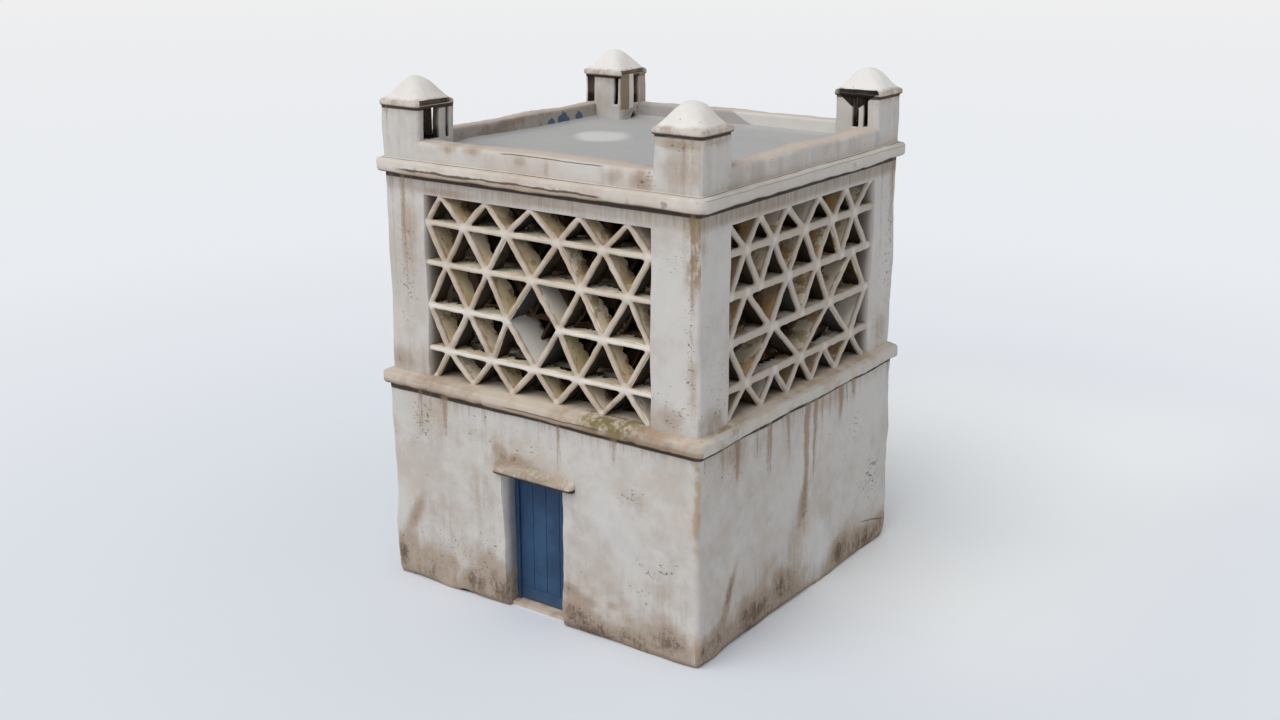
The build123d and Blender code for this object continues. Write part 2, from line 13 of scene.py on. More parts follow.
import bpy
import numpy as np
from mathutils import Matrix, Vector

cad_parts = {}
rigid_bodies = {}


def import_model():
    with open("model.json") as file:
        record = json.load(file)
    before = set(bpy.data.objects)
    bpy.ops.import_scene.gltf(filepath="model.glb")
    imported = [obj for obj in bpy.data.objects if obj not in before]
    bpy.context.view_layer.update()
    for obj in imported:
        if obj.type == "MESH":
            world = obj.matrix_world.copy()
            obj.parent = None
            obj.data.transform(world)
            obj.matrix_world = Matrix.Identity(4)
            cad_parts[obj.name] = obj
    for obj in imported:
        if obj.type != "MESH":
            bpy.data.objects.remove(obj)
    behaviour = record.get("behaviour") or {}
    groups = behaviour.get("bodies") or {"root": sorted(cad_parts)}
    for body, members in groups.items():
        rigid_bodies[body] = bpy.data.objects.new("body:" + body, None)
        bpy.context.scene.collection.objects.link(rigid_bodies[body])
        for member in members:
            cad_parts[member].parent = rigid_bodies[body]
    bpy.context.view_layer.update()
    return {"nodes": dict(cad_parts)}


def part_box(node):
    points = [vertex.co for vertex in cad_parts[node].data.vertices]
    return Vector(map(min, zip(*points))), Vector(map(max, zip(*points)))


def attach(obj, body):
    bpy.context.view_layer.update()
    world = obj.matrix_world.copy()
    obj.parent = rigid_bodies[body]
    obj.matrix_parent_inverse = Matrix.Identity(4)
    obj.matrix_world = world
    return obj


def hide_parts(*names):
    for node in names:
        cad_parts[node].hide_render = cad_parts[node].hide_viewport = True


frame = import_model()
scene = bpy.context.scene

# %% [markdown]
# ## The camera
# We look down a little on the corner between the door side and a gable side. The lens is a gentle
# telephoto, so that the upright edges stay nearly parallel.

# %% Camera
look_down, look_round = 17.05, 35.37        # degrees below level, and round from facing the door
camera = bpy.data.objects.new("camera", bpy.data.cameras.new("camera"))
camera.data.lens = 42.243
camera.data.clip_end = 2000
camera.location = (10.090, -14.386, 7.946)
camera.rotation_euler = (math.radians(90 - look_down), 0, math.radians(look_round))
scene.collection.objects.link(camera)
scene.camera = camera
scene.view_settings.view_transform = "Standard"
print("camera", round(camera.location.length, 2), "m from the middle of the building")

# %% [markdown]
# ## Making a mesh from arrays
# Every new piece is a set of points worked out with numpy, and the faces that join neighbours on a
# grid. Doing the sums on whole arrays keeps even a big wall to a fraction of a second. The
# helpers below number the faces of a grid, close the ends of what is carried along a path, and hand
# points, faces and any per-point values over to Blender.

# %% Grid and mesh helpers
def grid_quads(rows, columns, closed=True):
    """Quads of a grid stored row by row: each joins a point, its neighbour and the two above."""
    row = np.arange(rows - 1)[:, None]
    column = np.arange(columns if closed else columns - 1)[None, :]
    after = (column + 1) % columns
    corners = [row * columns + column, row * columns + after]
    corners += [corners[1] + columns, corners[0] + columns]
    return np.stack(np.broadcast_arrays(*corners), -1).reshape(-1, 4)


def tube_faces(rows, columns):
    """Faces of a closed tube, whose rings are the rows: its skin, and one face over each end."""
    ring = np.arange(columns)
    return [grid_quads(rows, columns), ring[::-1][None, :], (ring + (rows - 1) * columns)[None, :]]


def length_faces(rows, columns):
    """Faces of an open profile, whose points are the rows, carried along a straight length: its
    face, the strip that joins its last row to its first, and one face over each end."""
    place = np.arange(columns - 1)
    top = (rows - 1) * columns
    joint = np.stack([place + top, place + 1 + top, place + 1, place], -1)
    end = np.arange(rows) * columns
    return [grid_quads(rows, columns, closed=False), joint, end[None, :],
        (end + columns - 1)[::-1][None, :]]


class Heap:
    """Points and faces of several surfaces that will be one mesh."""

    def __init__(self):
        self.points, self.faces, self.values, self.count = [], [], {}, 0

    def add(self, points, faces, **values):
        """Put one surface on the heap. Each value is a number, or an array with one per point."""
        points = np.asarray(points, float).reshape(-1, 3)
        self.faces += [(np.asarray(block) + self.count) for block in faces]
        self.points.append(points)
        for name, value in values.items():
            self.values.setdefault(name, []).append(np.broadcast_to(value, len(points)))
        self.count += len(points)

    def mesh(self, name):
        """The heap as a mesh, with its values as attributes of the points."""
        mesh = bpy.data.meshes.new(name)
        points = np.concatenate(self.points)
        mesh.from_pydata(points.tolist(), [], [f for block in self.faces for f in block.tolist()])
        for key, arrays in self.values.items():
            layer = mesh.attributes.new(key, "FLOAT", "POINT")
            layer.data.foreach_set("value", np.concatenate(arrays).astype(np.float32))
        return mesh

    def piece(self, name, body="building", crease=50):
        """The heap as an object that rides on a body. Edges bent more than crease stay sharp."""
        mesh = self.mesh(name)
        mesh.polygons.foreach_set("use_smooth", np.ones(len(mesh.polygons), bool))
        mesh.update()
        mesh.set_sharp_from_angle(angle=math.radians(crease))
        made = bpy.data.objects.new(name, mesh)
        scene.collection.objects.link(made)
        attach(made, body)
        print(f"{name}: {self.count} points, {sum(len(p.vertices) - 2 for p in mesh.polygons)} triangles")
        return made

    def fused(self, voxel, rounds):
        """Points and quads of the heap's outer skin: cut into cubes of that size, then smoothed."""
        rough = bpy.data.objects.new("rough", self.mesh("rough"))
        scene.collection.objects.link(rough)
        skin = rough.modifiers.new("skin", "REMESH")
        skin.mode, skin.voxel_size = "VOXEL", voxel
        soften = rough.modifiers.new("soften", "SMOOTH")
        soften.factor, soften.iterations = 0.5, rounds
        mesh = bpy.data.meshes.new_from_object(rough.evaluated_get(bpy.context.evaluated_depsgraph_get()))
        points, corners = np.empty(3 * len(mesh.vertices)), np.empty(len(mesh.loops), int)
        mesh.vertices.foreach_get("co", points)
        mesh.loops.foreach_get("vertex_index", corners)
        bpy.data.objects.remove(rough)
        return points.reshape(-1, 3), corners.reshape(-1, 4)


# %% [markdown]
# ## Unevenness
# Lime walls are laid on by hand, so they wander by a centimetre or two over a metre and by a
# millimetre or two over a hand's breadth. A few sine waves that run in random directions and are
# added up give such a surface. The same sum at the same place gives the same shift, so pieces that
# meet stay together.

# %% Waves
def waves(points, size, seed):
    """Smooth noise in three parts, mostly -1 to 1: the sum of six sine waves of about that length,
    over the root of six."""
    count = 6
    random = np.random.default_rng(seed)
    total = np.zeros((*points.shape[:-1], 3))
    for _ in range(count):
        direction = random.normal(size=3)
        direction *= 2 * np.pi * random.uniform(0.6, 1.6) / (size * np.linalg.norm(direction))
        total += np.sin((points @ direction)[..., None] + random.uniform(0, 2 * np.pi, 3))
    return total / math.sqrt(count)


def uneven(points, strength):
    """Shift of hand-laid plaster: slow waves of a centimetre and quick ones of a millimetre."""
    slow, quick, grain = waves(points, 1.5, 1), waves(points, 0.42, 2), waves(points, 0.13, 3)
    return (0.0085 * slow + 0.003 * quick + 0.0009 * grain) * strength


# %% [markdown]
# ## Walking round the building
# The walls, the string course and the cornice all run round a square with rounded corners. If
# every one of them uses the same columns, a wall and the moulding on it bend together. A column
# belongs to a side, and has either a share of the straight stretch or a share of the corner.

# %% Columns round a square
ALONG = np.array([(1, 0), (0, 1), (-1, 0), (0, -1)], float)     # front, right, back, left
OUTWARD = np.array([(0, -1), (1, 0), (0, 1), (-1, 0)], float)


def spread(marks, step, least=1):
    """Even places from mark to mark, at least so many to a span and no further apart than step."""
    spans = []
    for a, b in zip(marks, marks[1:]):
        count = max(least, math.ceil((b - a) / step))
        spans.append(np.linspace(a, b, count + 1)[:-1])
    return spans


def columns_round(halves, radius, stops=((), (), (), ()), step=0.04, bends=4):
    """Columns of a rounded square, anticlockwise from the front's left end: side, straight share
    from -1 to 1, and corner share from 0 to 1. Stops are places that get a column of their own."""
    sides, shares, turns = [], [], []
    for side in range(4):
        straight = halves[side % 2] - radius
        marks = np.array([-straight, *stops[side], straight])
        middle = np.concatenate(spread(marks, step, 2)) / straight
        bend = np.arange(bends) / bends
        share = np.concatenate([np.full(bends, -1.0), middle, np.ones(bends)])
        turn = np.concatenate([1 - bend, np.zeros(len(middle)), bend])
        sides.append(np.full(len(share), side))
        shares.append(share)
        turns.append(turn)
    return np.concatenate(sides), np.concatenate(shares), np.concatenate(turns)


def place_columns(columns, halves, radius, centre=(0, 0)):
    """Plan of the columns on a rounded square of any size: along the side for the straight share,
    then along an arc for the corner share. Gives the points and the directions outward."""
    side, share, turn = columns
    halves = np.asarray(halves, float)
    angle = turn * math.pi / 4
    own, other = halves[side % 2], halves[(side + 1) % 2]
    along = share * (own - radius) + np.sign(share) * radius * np.sin(angle)
    out = other - radius + radius * np.cos(angle)
    plan = along[:, None] * ALONG[side] + out[:, None] * OUTWARD[side] + np.asarray(centre, float)
    lean = np.sign(share) * np.sin(angle)
    return plan, lean[:, None] * ALONG[side] + np.cos(angle)[:, None] * OUTWARD[side]


# %% [markdown]
# ## Wear, kept on the points
# Stains sit where water runs and where mud splashes, so they belong to places on a wall. We list
# the main ones by their place along the side and their level, in metres, and keep the strength of
# each kind of wear as a number on every point. The finish breaks these soft ovals up with noise.

# %% Places on a wall and the wear there
def on_walls(points, halves):
    """For each point, the side that it lies nearest to, and its place along that side."""
    out = points[..., :2] @ OUTWARD.T - np.array([halves[1], halves[0]] * 2)
    side = np.argmax(out, -1)
    return side, np.sum(points[..., :2] * ALONG[side], -1)


def ovals(along, level, places):
    """The strongest of some soft ovals (along, level, half width, half height, lean, strength): a
    bell round its middle, slanted by lean, that is, moved along by lean times the height. One with
    a strength below nothing is a clean place, and is added."""
    total = np.zeros(along.shape)
    for a, b, wide, high, lean, strength in places:
        oval = ((along - a - lean * (level - b)) / wide) ** 2 + ((level - b) / high) ** 2
        bell = strength * np.exp(-oval)
        total = np.maximum(total, bell) if strength > 0 else total + bell
    return total


def runs(along, level, places):
    """The strongest of some streaks (along, top, foot, half width, strength): a bell along the wall
    that fades from its top to its foot as the square root of what is left."""
    total = np.zeros(along.shape)
    for a, top, foot, wide, strength in places:
        left = np.sqrt(np.clip((level - foot) / (top - foot), 0, 1)) * (level < top + 0.05)
        total = np.maximum(total, strength * np.exp(-(((along - a) / wide) ** 2)) * left)
    return total


def hanging(top, *places):
    """Streaks (along, foot, half width, strength) that all start at the level top."""
    return [(along, top, foot, wide, strength) for along, foot, wide, strength in places]


def wear(points, halves, stains, streaks, flaked):
    """The three kinds of wear for every point, from the lists of the four sides."""
    side, along = on_walls(points, halves)
    level = points[..., 2]
    kinds = {"stain": (ovals, stains), "streak": (runs, streaks), "flaked": (ovals, flaked)}
    return {
        kind: np.select([side == k for k in range(4)], [shape(along, level, own) for own in places])
        for kind, (shape, places) in kinds.items()
    }


# %% [markdown]
# ## A wall with openings
# A thick wall is two sheets, an outer and an inner one, with the same rows and columns. Where there
# is a door or a window, both sheets leave out the same block of faces, and rings of faces run
# through from the rim of one hole to the rim of the other. Because the rims are rows and columns of
# the same grid, the plaster runs unbroken round the arris into the reveal.

# %% Wall shell
def wall_shell(columns, outer, inner, heights, openings, foot=None):
    """Points and faces of a thick wall round a square, and for each point how far inside it lies,
    from 0 to 1. outer and inner are (halves, radius, centre). heights is two rows of levels, outer
    and inner. Each opening has its side, ends, foot, head and rings of (depth, widening). It may
    narrow by a share towards a tip at its head, have its rim softened by a bevel, and have ends of
    its own in the inner sheet. foot gives how far the outer sheet is worn back."""
    side, _, turn = columns
    count, levels = len(side), heights.shape[1]
    grid = np.zeros((2, levels, count, 3))
    for sheet, (halves, radius, centre) in enumerate((outer, inner)):
        plan, normal = place_columns(columns, halves, radius, centre)
        grid[sheet, :, :, :2] = plan
        grid[sheet, :, :, 2] = heights[sheet][:, None]
        if sheet == 0 and foot is not None:
            grid[0, :, :, :2] -= foot(grid[0])[..., None] * normal
    inside = np.zeros(grid.shape[:3])
    inside[1] = 1
    solid = np.ones((levels - 1, count), bool)
    extra, extra_inside, faces = [], [], []
    centre = np.asarray(outer[2], float)
    for hole in openings:
        k, along, out = hole["side"], ALONG[hole["side"]], OUTWARD[hole["side"]]
        place = (grid[0, 0, :, :2] - centre) @ along
        mine = np.flatnonzero((side == k) & (turn == 0))
        i0, i1 = (mine[np.argmin(abs(place[mine] - end))] for end in hole["ends"])
        j0, j1 = (int(np.argmin(abs(heights[0] - level))) for level in (hole["foot"], hole["head"]))
        solid[j0:j1, i0:i1] = False
        reach = np.arange(j0, j1 + 1)
        path = (
            [(j, i0) for j in reach] + [(j1, i) for i in range(i0 + 1, i1)]
            + [(j, i1) for j in reach[::-1]]
        )
        closed = j0 > 0
        if closed:
            path += [(j0, i) for i in range(i1 - 1, i0, -1)]
        rows, cols = np.array(path).T
        middle = sum(hole["ends"]) / 2
        across = (
            ((grid[0, rows, cols, :2] - centre) @ along - middle)
            / ((hole["ends"][1] - hole["ends"][0]) / 2)
        )
        rise = (rows == j1) * 1.0 - ((rows == j0) & closed)
        if "tip" in hole:
            narrow = (
                1 - (1 - hole["tip"]) * (heights[0][rows] - hole["foot"]) / (hole["head"] - hole["foot"])
            )
            for sheet in (0, 1):
                old = (grid[sheet, rows, cols, :2] - centre) @ along
                grid[sheet, rows, cols, :2] += (((old - middle) * narrow + middle - old)[:, None]) * along
            across = across * narrow
        wide = np.clip(across, -1, 1)
        rings = [grid[0, rows, cols].copy()]
        for depth, widening in hole["rings"]:
            ring = rings[0].copy()
            ring[:, :2] += -depth * out + (widening * wide)[:, None] * along
            ring[:, 2] += widening * rise
            rings.append(ring)
        bevel = hole.get("bevel", 0.0)
        grid[0, rows, cols, :2] += -0.35 * bevel * out + (0.35 * bevel * wide)[:, None] * along
        grid[0, rows, cols, 2] += 0.35 * bevel * rise
        if "inner_ends" in hole:
            sheet = grid[1]
            old = (sheet[0, mine, :2] - centre) @ along
            spread = np.interp(old, (old[0], *old[[i0 - mine[0], i1 - mine[0]]], old[-1]),
                (old[0], *hole["inner_ends"], old[-1]))
            sheet[:, mine, :2] += (spread - old)[:, None] * along
        n, loop = len(rows), 0 if closed else 1
        numbers = [rows * count + cols]
        for index, ring in enumerate(rings[1:]):
            numbers.append(2 * levels * count + sum(map(len, extra)) + np.arange(n))
            extra.append(ring)
            extra_inside.append(np.full(n, (index + 1) / len(rings)))
        numbers.append(levels * count + rows * count + cols)
        for a, b in zip(numbers, numbers[1:]):
            quads = np.stack([a, b, np.roll(b, -1), np.roll(a, -1)], -1)
            faces.append(quads[:-1] if loop else quads)
    quads = grid_quads(levels, count).reshape(levels - 1, count, 4)[solid]
    faces += [quads, quads[:, ::-1] + levels * count]
    ring = np.arange(count)
    after = (ring + 1) % count
    top = (levels - 1) * count
    faces.append(np.stack([ring + top, after + top, after + top + levels * count,
        ring + top + levels * count], -1))
    low = np.stack([after, ring, ring + levels * count, after + levels * count], -1)
    faces.append(low[solid[0]])
    points = np.concatenate([grid.reshape(-1, 3), *extra]) if extra else grid.reshape(-1, 3)
    return points, faces, np.concatenate([inside.reshape(-1),
        *extra_inside]) if extra else inside.reshape(-1)


def levels_between(*marks, step=0.04):
    """Levels from mark to mark, evenly spaced and no further apart than step."""
    return np.concatenate([*spread(marks, step), [marks[-1]]])


# %% [markdown]
# ## The ground storey
# The room below is one thick wall with a doorway. The doorway has a deep outer reveal, a rebate
# behind it where the frame stands, and reveals that splay towards the room. The foot of the wall is
# worn back where splashing rain and hooves have knocked the lime off.

# %% Ground storey
_, wall_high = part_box("back_wall")
half_x, half_y = wall_high[0], wall_high[1]
wall_top = wall_high[2]
wall_thickness, wall_arris = 0.55, 0.06
room_x, room_y = half_x - wall_thickness, half_y - wall_thickness
frame_low, frame_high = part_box("door_frame")
frame_hidden = 0.065        # how much of the frame stands behind each reveal
reveal = 0.21               # wall face to the frame
spread_inside = 0.14        # the reveals end this much wider in the room, on each side
rise_inside = 0.125         # and this much higher
door_left, door_right = frame_low[0] + frame_hidden, frame_high[0] - frame_hidden
door_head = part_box("front_wall_over_door")[0][2]
door_middle = (door_left + door_right) / 2


def worn_foot(points):
    """How far the wall's foot is worn back: most at the ground, gone a hand's breadth above it, and
    deeper where a slow wave says so."""
    patchy = 1 + 0.7 * waves(points, 0.6, 11)[..., 0]
    return 0.030 * np.clip(patchy, 0.15, 2) * np.exp(-points[..., 2] / 0.05)


GROUND_STAINS = [
    [
        (-1.55, 0.30, 0.40, 0.30, 0, 0.92), (-2.11, 0.30, 0.10, 0.26, 0, 1.3),
        (-1.88, 0.80, 0.10, 0.30, 0.45, 1.15), (-1.95, 0.50, 0.14, 0.20, 0, 0.9),
        (-1.28, 0.34, 0.15, 0.14, -0.2, 1.15), (-0.98, 0.20, 0.22, 0.18, 0, 1.1),
        (-0.72, 0.45, 0.30, 0.32, 0, 0.75), (-0.55, 0.18, 0.12, 0.26, 0, 1.15),
        (0.50, 0.50, 0.16, 0.09, -0.4, 1.25), (0.76, 0.42, 0.18, 0.07, 0, 1.0),
        (0.60, 0.24, 0.28, 0.18, 0, 0.95), (0.98, 0.62, 0.16, 0.14, 0, -0.5),
        (0.95, 0.30, 0.10, 0.10, 0, -0.4), (0.80, 0.10, 0.34, 0.14, 0, 1.15),
        (1.10, 0.46, 0.10, 0.07, 0, 0.85), (1.20, 0.10, 0.50, 0.12, 0, 0.95),
        (1.80, 0.86, 0.24, 0.18, 0, 0.55), (1.85, 0.22, 0.24, 0.16, 0, 0.95),
        (-1.38, 0.98, 0.35, 0.30, 0, 0.45), (-0.47, 1.90, 0.13, 0.15, -0.5, 1.35),
        (-0.26, 1.88, 0.22, 0.07, -0.4, 1.2), (0.02, 1.80, 0.14, 0.06, 0, 1.0),
        (-1.60, 2.15, 0.22, 0.26, 0, 0.5), (-1.10, 0.60, 0.80, 0.45, 0, 0.45),
        (1.38, 1.80, 0.26, 0.12, 0.4, 0.45), (0.90, 0.60, 0.70, 0.40, 0, 0.36),
        (-0.80, 1.30, 0.34, 0.60, 0, 0.46), (-0.62, 2.08, 0.60, 0.22, 0, 0.42),
        (0.58, 1.35, 0.16, 0.60, 0, 0.36), (-1.35, 1.95, 0.50, 0.25, 0, 0.32),
    ],
    [
        (-1.60, 0.60, 0.075, 0.36, 0.5, 1.35), (-1.82, 0.22, 0.20, 0.22, 0, 0.9),
        (-1.00, 0.20, 0.50, 0.30, 0, 1.0), (-0.40, 0.32, 0.30, 0.26, 0, 1.0),
        (-0.80, 0.60, 0.30, 0.20, 0.4, 0.6), (0.30, 0.48, 0.20, 0.50, 0, -1.1),
        (0.98, 0.24, 0.22, 0.20, 0, 1.7), (1.62, 0.16, 0.50, 0.18, 0, 1.15),
        (2.05, 0.26, 0.14, 0.14, 0, 0.9), (-2.10, 0.14, 0.16, 0.22, 0, 1.2),
        (0.00, 1.15, 0.12, 0.34, 0.2, 1.15), (-1.50, 2.26, 0.30, 0.22, 0, 0.75),
        (-0.95, 2.24, 0.24, 0.16, 0, 0.5), (-0.20, 0.70, 0.22, 0.35, 0.4, 0.6),
        (0.40, 2.30, 0.80, 0.12, 0, 0.55),
    ],
    [
        (-1.7, 0.25, 0.30, 0.26, 0, 1.0), (-0.9, 0.15, 0.40, 0.20, 0, 0.9),
        (0.1, 0.35, 0.30, 0.36, 0.2, 0.8), (0.8, 0.12, 0.30, 0.16, 0, 1.1),
        (1.6, 0.30, 0.36, 0.30, 0, 1.0), (0.4, 1.4, 0.3, 0.4, 0, 0.5), (-1.4, 1.9, 0.4, 0.2, 0, 0.5),
    ],
    [
        (-1.8, 0.20, 0.26, 0.22, 0, 1.1), (-1.0, 0.30, 0.22, 0.30, 0.3, 0.9),
        (-0.2, 0.15, 0.40, 0.18, 0, 1.0), (0.9, 0.25, 0.36, 0.26, -0.2, 0.9),
        (1.8, 0.18, 0.26, 0.24, 0, 1.1), (0.6, 1.7, 0.3, 0.3, 0, 0.5), (-1.2, 2.0, 0.5, 0.2, 0, 0.5),
    ],
]
drip_line = 2.5             # streaks start behind the string course
GROUND_STREAKS = [
    hanging(
        drip_line, (-1.90, 2.05, 0.04, 0.7), (-1.70, 1.85, 0.04, 0.9), (-1.53, 2.1, 0.03, 0.7),
        (-1.32, 1.80, 0.050, 1.7), (-0.42, 2.15, 0.05, 0.5), (0.05, 2.0, 0.05, 0.8),
        (0.34, 1.7, 0.04, 0.8), (1.12, 2.0, 0.05, 1.2), (1.00, 2.2, 0.08, 0.6),
    ),
    hanging(
        drip_line, (-2.10, 2.0, 0.05, 0.8), (-1.76, 1.95, 0.06, 1.1), (-1.46, 1.85, 0.08, 1.4),
        (-1.04, 1.95, 0.05, 1.0), (-0.80, 1.65, 0.07, 1.2), (-0.37, 1.80, 0.06, 1.4),
        (0.06, 1.00, 0.07, 1.7), (0.26, 1.35, 0.05, 1.7), (0.42, 1.8, 0.035, 1.3),
        (0.60, 1.8, 0.03, 1.1), (0.88, 1.90, 0.055, 2.0), (1.04, 2.05, 0.03, 1.2),
        (1.20, 2.1, 0.045, 1.5), (1.60, 2.2, 0.05, 0.7), (2.12, 1.9, 0.04, 0.8),
    ),
    hanging(
        drip_line, (-1.9, 1.8, 0.06, 0.9), (-1.2, 2.0, 0.04, 1.0), (-0.5, 1.6, 0.05, 1.3),
        (0.2, 2.0, 0.05, 0.8), (0.9, 1.7, 0.04, 1.2), (1.7, 1.9, 0.06, 0.9),
    ),
    hanging(
        drip_line, (-1.6, 1.7, 0.04, 1.2), (-0.9, 2.0, 0.06, 0.8), (-0.1, 1.8, 0.04, 1.0),
        (0.6, 1.5, 0.04, 1.3), (1.4, 2.0, 0.05, 0.9),
    ),
]
GROUND_FLAKED = [
    [
        (-1.68, 2.10, 0.20, 0.34, 0, 1.0), (-0.78, 2.28, 0.16, 0.05, 0, 1.0),
        (1.70, 1.05, 0.22, 0.12, 0.6, 1.0), (1.34, 1.82, 0.22, 0.12, 0.4, 1.0),
        (1.50, 0.70, 0.20, 0.14, 0, 0.6), (-1.25, 0.45, 0.5, 0.35, 0, 0.7),
        (-2.08, 0.30, 0.12, 0.25, 0, 1.1), (-0.8, 0.5, 0.4, 0.4, 0, 0.6),
        (0.70, 0.20, 0.35, 0.16, 0, 0.9), (-0.3, 2.02, 0.5, 0.08, 0, 0.8),
        (1.85, 0.25, 0.2, 0.1, 0, 0.9),
    ],
    [
        (1.30, 1.85, 0.30, 0.22, 0, 0.8), (1.72, 1.0, 0.24, 0.40, 0, 1.1),
        (0.04, 1.15, 0.12, 0.34, 0, 1.0), (-0.3, 0.35, 0.5, 0.25, 0, 0.6),
        (-1.5, 2.15, 0.26, 0.2, 0, 0.8), (0.95, 0.25, 0.2, 0.25, 0, 0.8), (-1.1, 0.2, 0.5, 0.2, 0, 0.6),
        (-2.1, 0.15, 0.15, 0.2, 0, 1.0),
    ],
    [
        (-1.5, 1.3, 0.4, 0.3, 0, 0.9), (0.6, 0.9, 0.4, 0.3, 0, 0.9), (1.5, 1.9, 0.3, 0.3, 0, 0.9),
        (0, 0.2, 2.0, 0.2, 0, 0.7),
    ],
    [
        (-0.8, 1.1, 0.4, 0.3, 0, 0.9), (1.2, 0.9, 0.4, 0.4, 0, 0.9), (-1.7, 1.9, 0.3, 0.3, 0, 0.9),
        (0, 0.2, 2.0, 0.2, 0, 0.7),
    ],
]
rim = 0.03                  # the rounded edge of the doorway
stops = ([door_left - rim, door_left, door_right, door_right + rim], [], [], [])
round_wall = columns_round((half_x, half_y), wall_arris, stops, step=0.042)
levels = levels_between(0, 0.02, 0.05, 0.1, door_head - rim, door_head, door_head + rim, wall_top,
    step=0.042)
inner_levels = np.interp(levels, [0, door_head, wall_top], [0, door_head + rise_inside, wall_top])
doorway = {
    "side": 0, "ends": (door_left, door_right), "foot": 0, "head": door_head, "bevel": rim,
    "rings": [(rim, 0), (0.12, 0), (reveal, 0), (0.2101, frame_hidden), (0.28, frame_hidden)],
    "inner_ends": (door_left - spread_inside, door_right + spread_inside),
}
points, faces, inside = wall_shell(
    round_wall, ((half_x, half_y), wall_arris, (0, 0)), ((room_x, room_y), 0.01, (0, 0)),
    np.stack([levels, inner_levels]), [doorway], foot=worn_foot,
)
near_frame = np.exp(-((points[:, 0] - door_middle) / 0.55) ** 4
    - ((points[:, 1] + half_y - 0.3) / 0.22) ** 4)
shift = uneven(points, 1.5) * (1 - 0.85 * near_frame * (points[:, 2] < 1.85))[:, None]
points[:, :2] += shift[:, :2]
heap = Heap()
heap.add(points, faces, inside=inside,
    **wear(points, (half_x, half_y), GROUND_STAINS, GROUND_STREAKS, GROUND_FLAKED))
ground_storey = heap.piece("ground_storey")
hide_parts("front_wall_left", "front_wall_right", "front_wall_over_door", "left_wall",
    "right_wall", "back_wall")

# %% [markdown]
# ## The loft's piers and frieze
# Over the string course the corners are square piers, with a frieze across their heads. It is the
# same shell again, with one big opening on every side.

# %% Loft frame
pier_low, pier_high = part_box("corner_pier_front_left")
upper_x, upper_y = -pier_low[0], -pier_low[1]
pier_edge_x, pier_edge_y = -pier_high[0], -pier_high[1]
loft_level, cornice_level = pier_low[2], pier_high[2]
frieze_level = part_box("frieze_front_back")[0][2]

edges = [(-pier_edge_x, pier_edge_x), (-pier_edge_y, pier_edge_y)] * 2
stops = [[a, b] for a, b in edges]
pier_arris = 0.05
round_loft = columns_round((upper_x, upper_y), pier_arris, stops, step=0.045)
levels = levels_between(loft_level - 0.03, frieze_level, cornice_level + 0.02, step=0.045)
bays = [
    {"side": k, "ends": ends, "foot": loft_level - 0.03, "head": frieze_level, "bevel": 0.014,
     "rings": [(0.014, 0), (0.1, 0), (0.3, 0)]}
    for k, ends in enumerate(edges)
]
points, faces, inside = wall_shell(
    round_loft, ((upper_x, upper_y), pier_arris, (0, 0)),
    ((pier_edge_x + 0.04, pier_edge_y + 0.04), 0.005, (0, 0)),
    np.stack([levels, levels]), bays,
)
points[:, :2] += uneven(points, 0.9)[:, :2]
base = loft_level
LOFT_STAINS = [
    [
        (-1.80, 4.30, 0.14, 0.5, 0, 0.6), (-1.95, base + 0.15, 0.3, 0.22, 0, 0.8),
        (-1.66, base + 0.1, 0.1, 0.3, 0, 0.6), (1.75, base + 0.12, 0.30, 0.2, 0, 0.7),
        (2.08, base + 0.5, 0.06, 0.5, 0, 0.7), (2.10, 4.3, 0.05, 0.4, 0, 0.6),
        (-1.2, 4.82, 0.5, 0.06, 0, 0.9), (0.3, 4.86, 0.8, 0.04, 0, 0.6),
    ],
    [
        (-1.95, base + 0.1, 0.3, 0.2, 0, 0.75), (-2.12, 4.7, 0.05, 0.25, 0, 0.7),
        (2.05, 4.4, 0.05, 0.5, 0, 0.6), (1.9, base + 0.2, 0.2, 0.3, 0, 0.65),
        (-0.8, 4.84, 0.9, 0.05, 0, 0.5),
    ],
] * 2
LOFT_STREAKS = [
    hanging(
        cornice_level, (-2.05, 3.6, 0.05, 0.8), (-1.88, 3.2, 0.05, 0.9), (-1.72, 3.9, 0.04, 0.7),
        (2.08, 2.7, 0.03, 1.1), (1.95, 4.3, 0.04, 0.4),
    ),
    hanging(
        cornice_level, (-2.0, 4.2, 0.06, 0.45), (-1.8, 4.5, 0.03, 0.35), (1.78, 3.6, 0.03, 0.9),
        (2.08, 3.0, 0.04, 1.0), (1.92, 4.2, 0.03, 0.6),
    ),
] * 2
LOFT_FLAKED = [
    [
        (-1.85, 3.9, 0.18, 0.8, 0, 0.8), (2.05, 3.6, 0.08, 0.9, 0, 0.9), (1.8, 4.4, 0.2, 0.2, 0, 0.6),
        (1.9, base + 0.2, 0.3, 0.2, 0, 0.8),
    ],
    [
        (2.0, 3.9, 0.15, 0.8, 0, 0.8), (-1.9, base + 0.2, 0.3, 0.2, 0, 0.7),
        (-1.8, 3.3, 0.2, 0.3, 0, 0.5),
    ],
] * 2
heap = Heap()
heap.add(points, faces, inside=inside,
    **wear(points, (upper_x, upper_y), LOFT_STAINS, LOFT_STREAKS, LOFT_FLAKED))
loft_frame = heap.piece("loft_frame")
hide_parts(*[f"corner_pier_{c}" for c in ("front_left", "front_right", "back_right", "back_left")],
    "frieze_front_back", "frieze_sides")

# %% [markdown]
# ## String course and cornice
# A moulding is a profile carried round the building. The mason ran it by eye along projecting
# slates, so its nose rises and falls, and in places its edge has dropped off. We move each point of
# the profile outward by its offset, and let waves that depend on the place along the wall lift it.

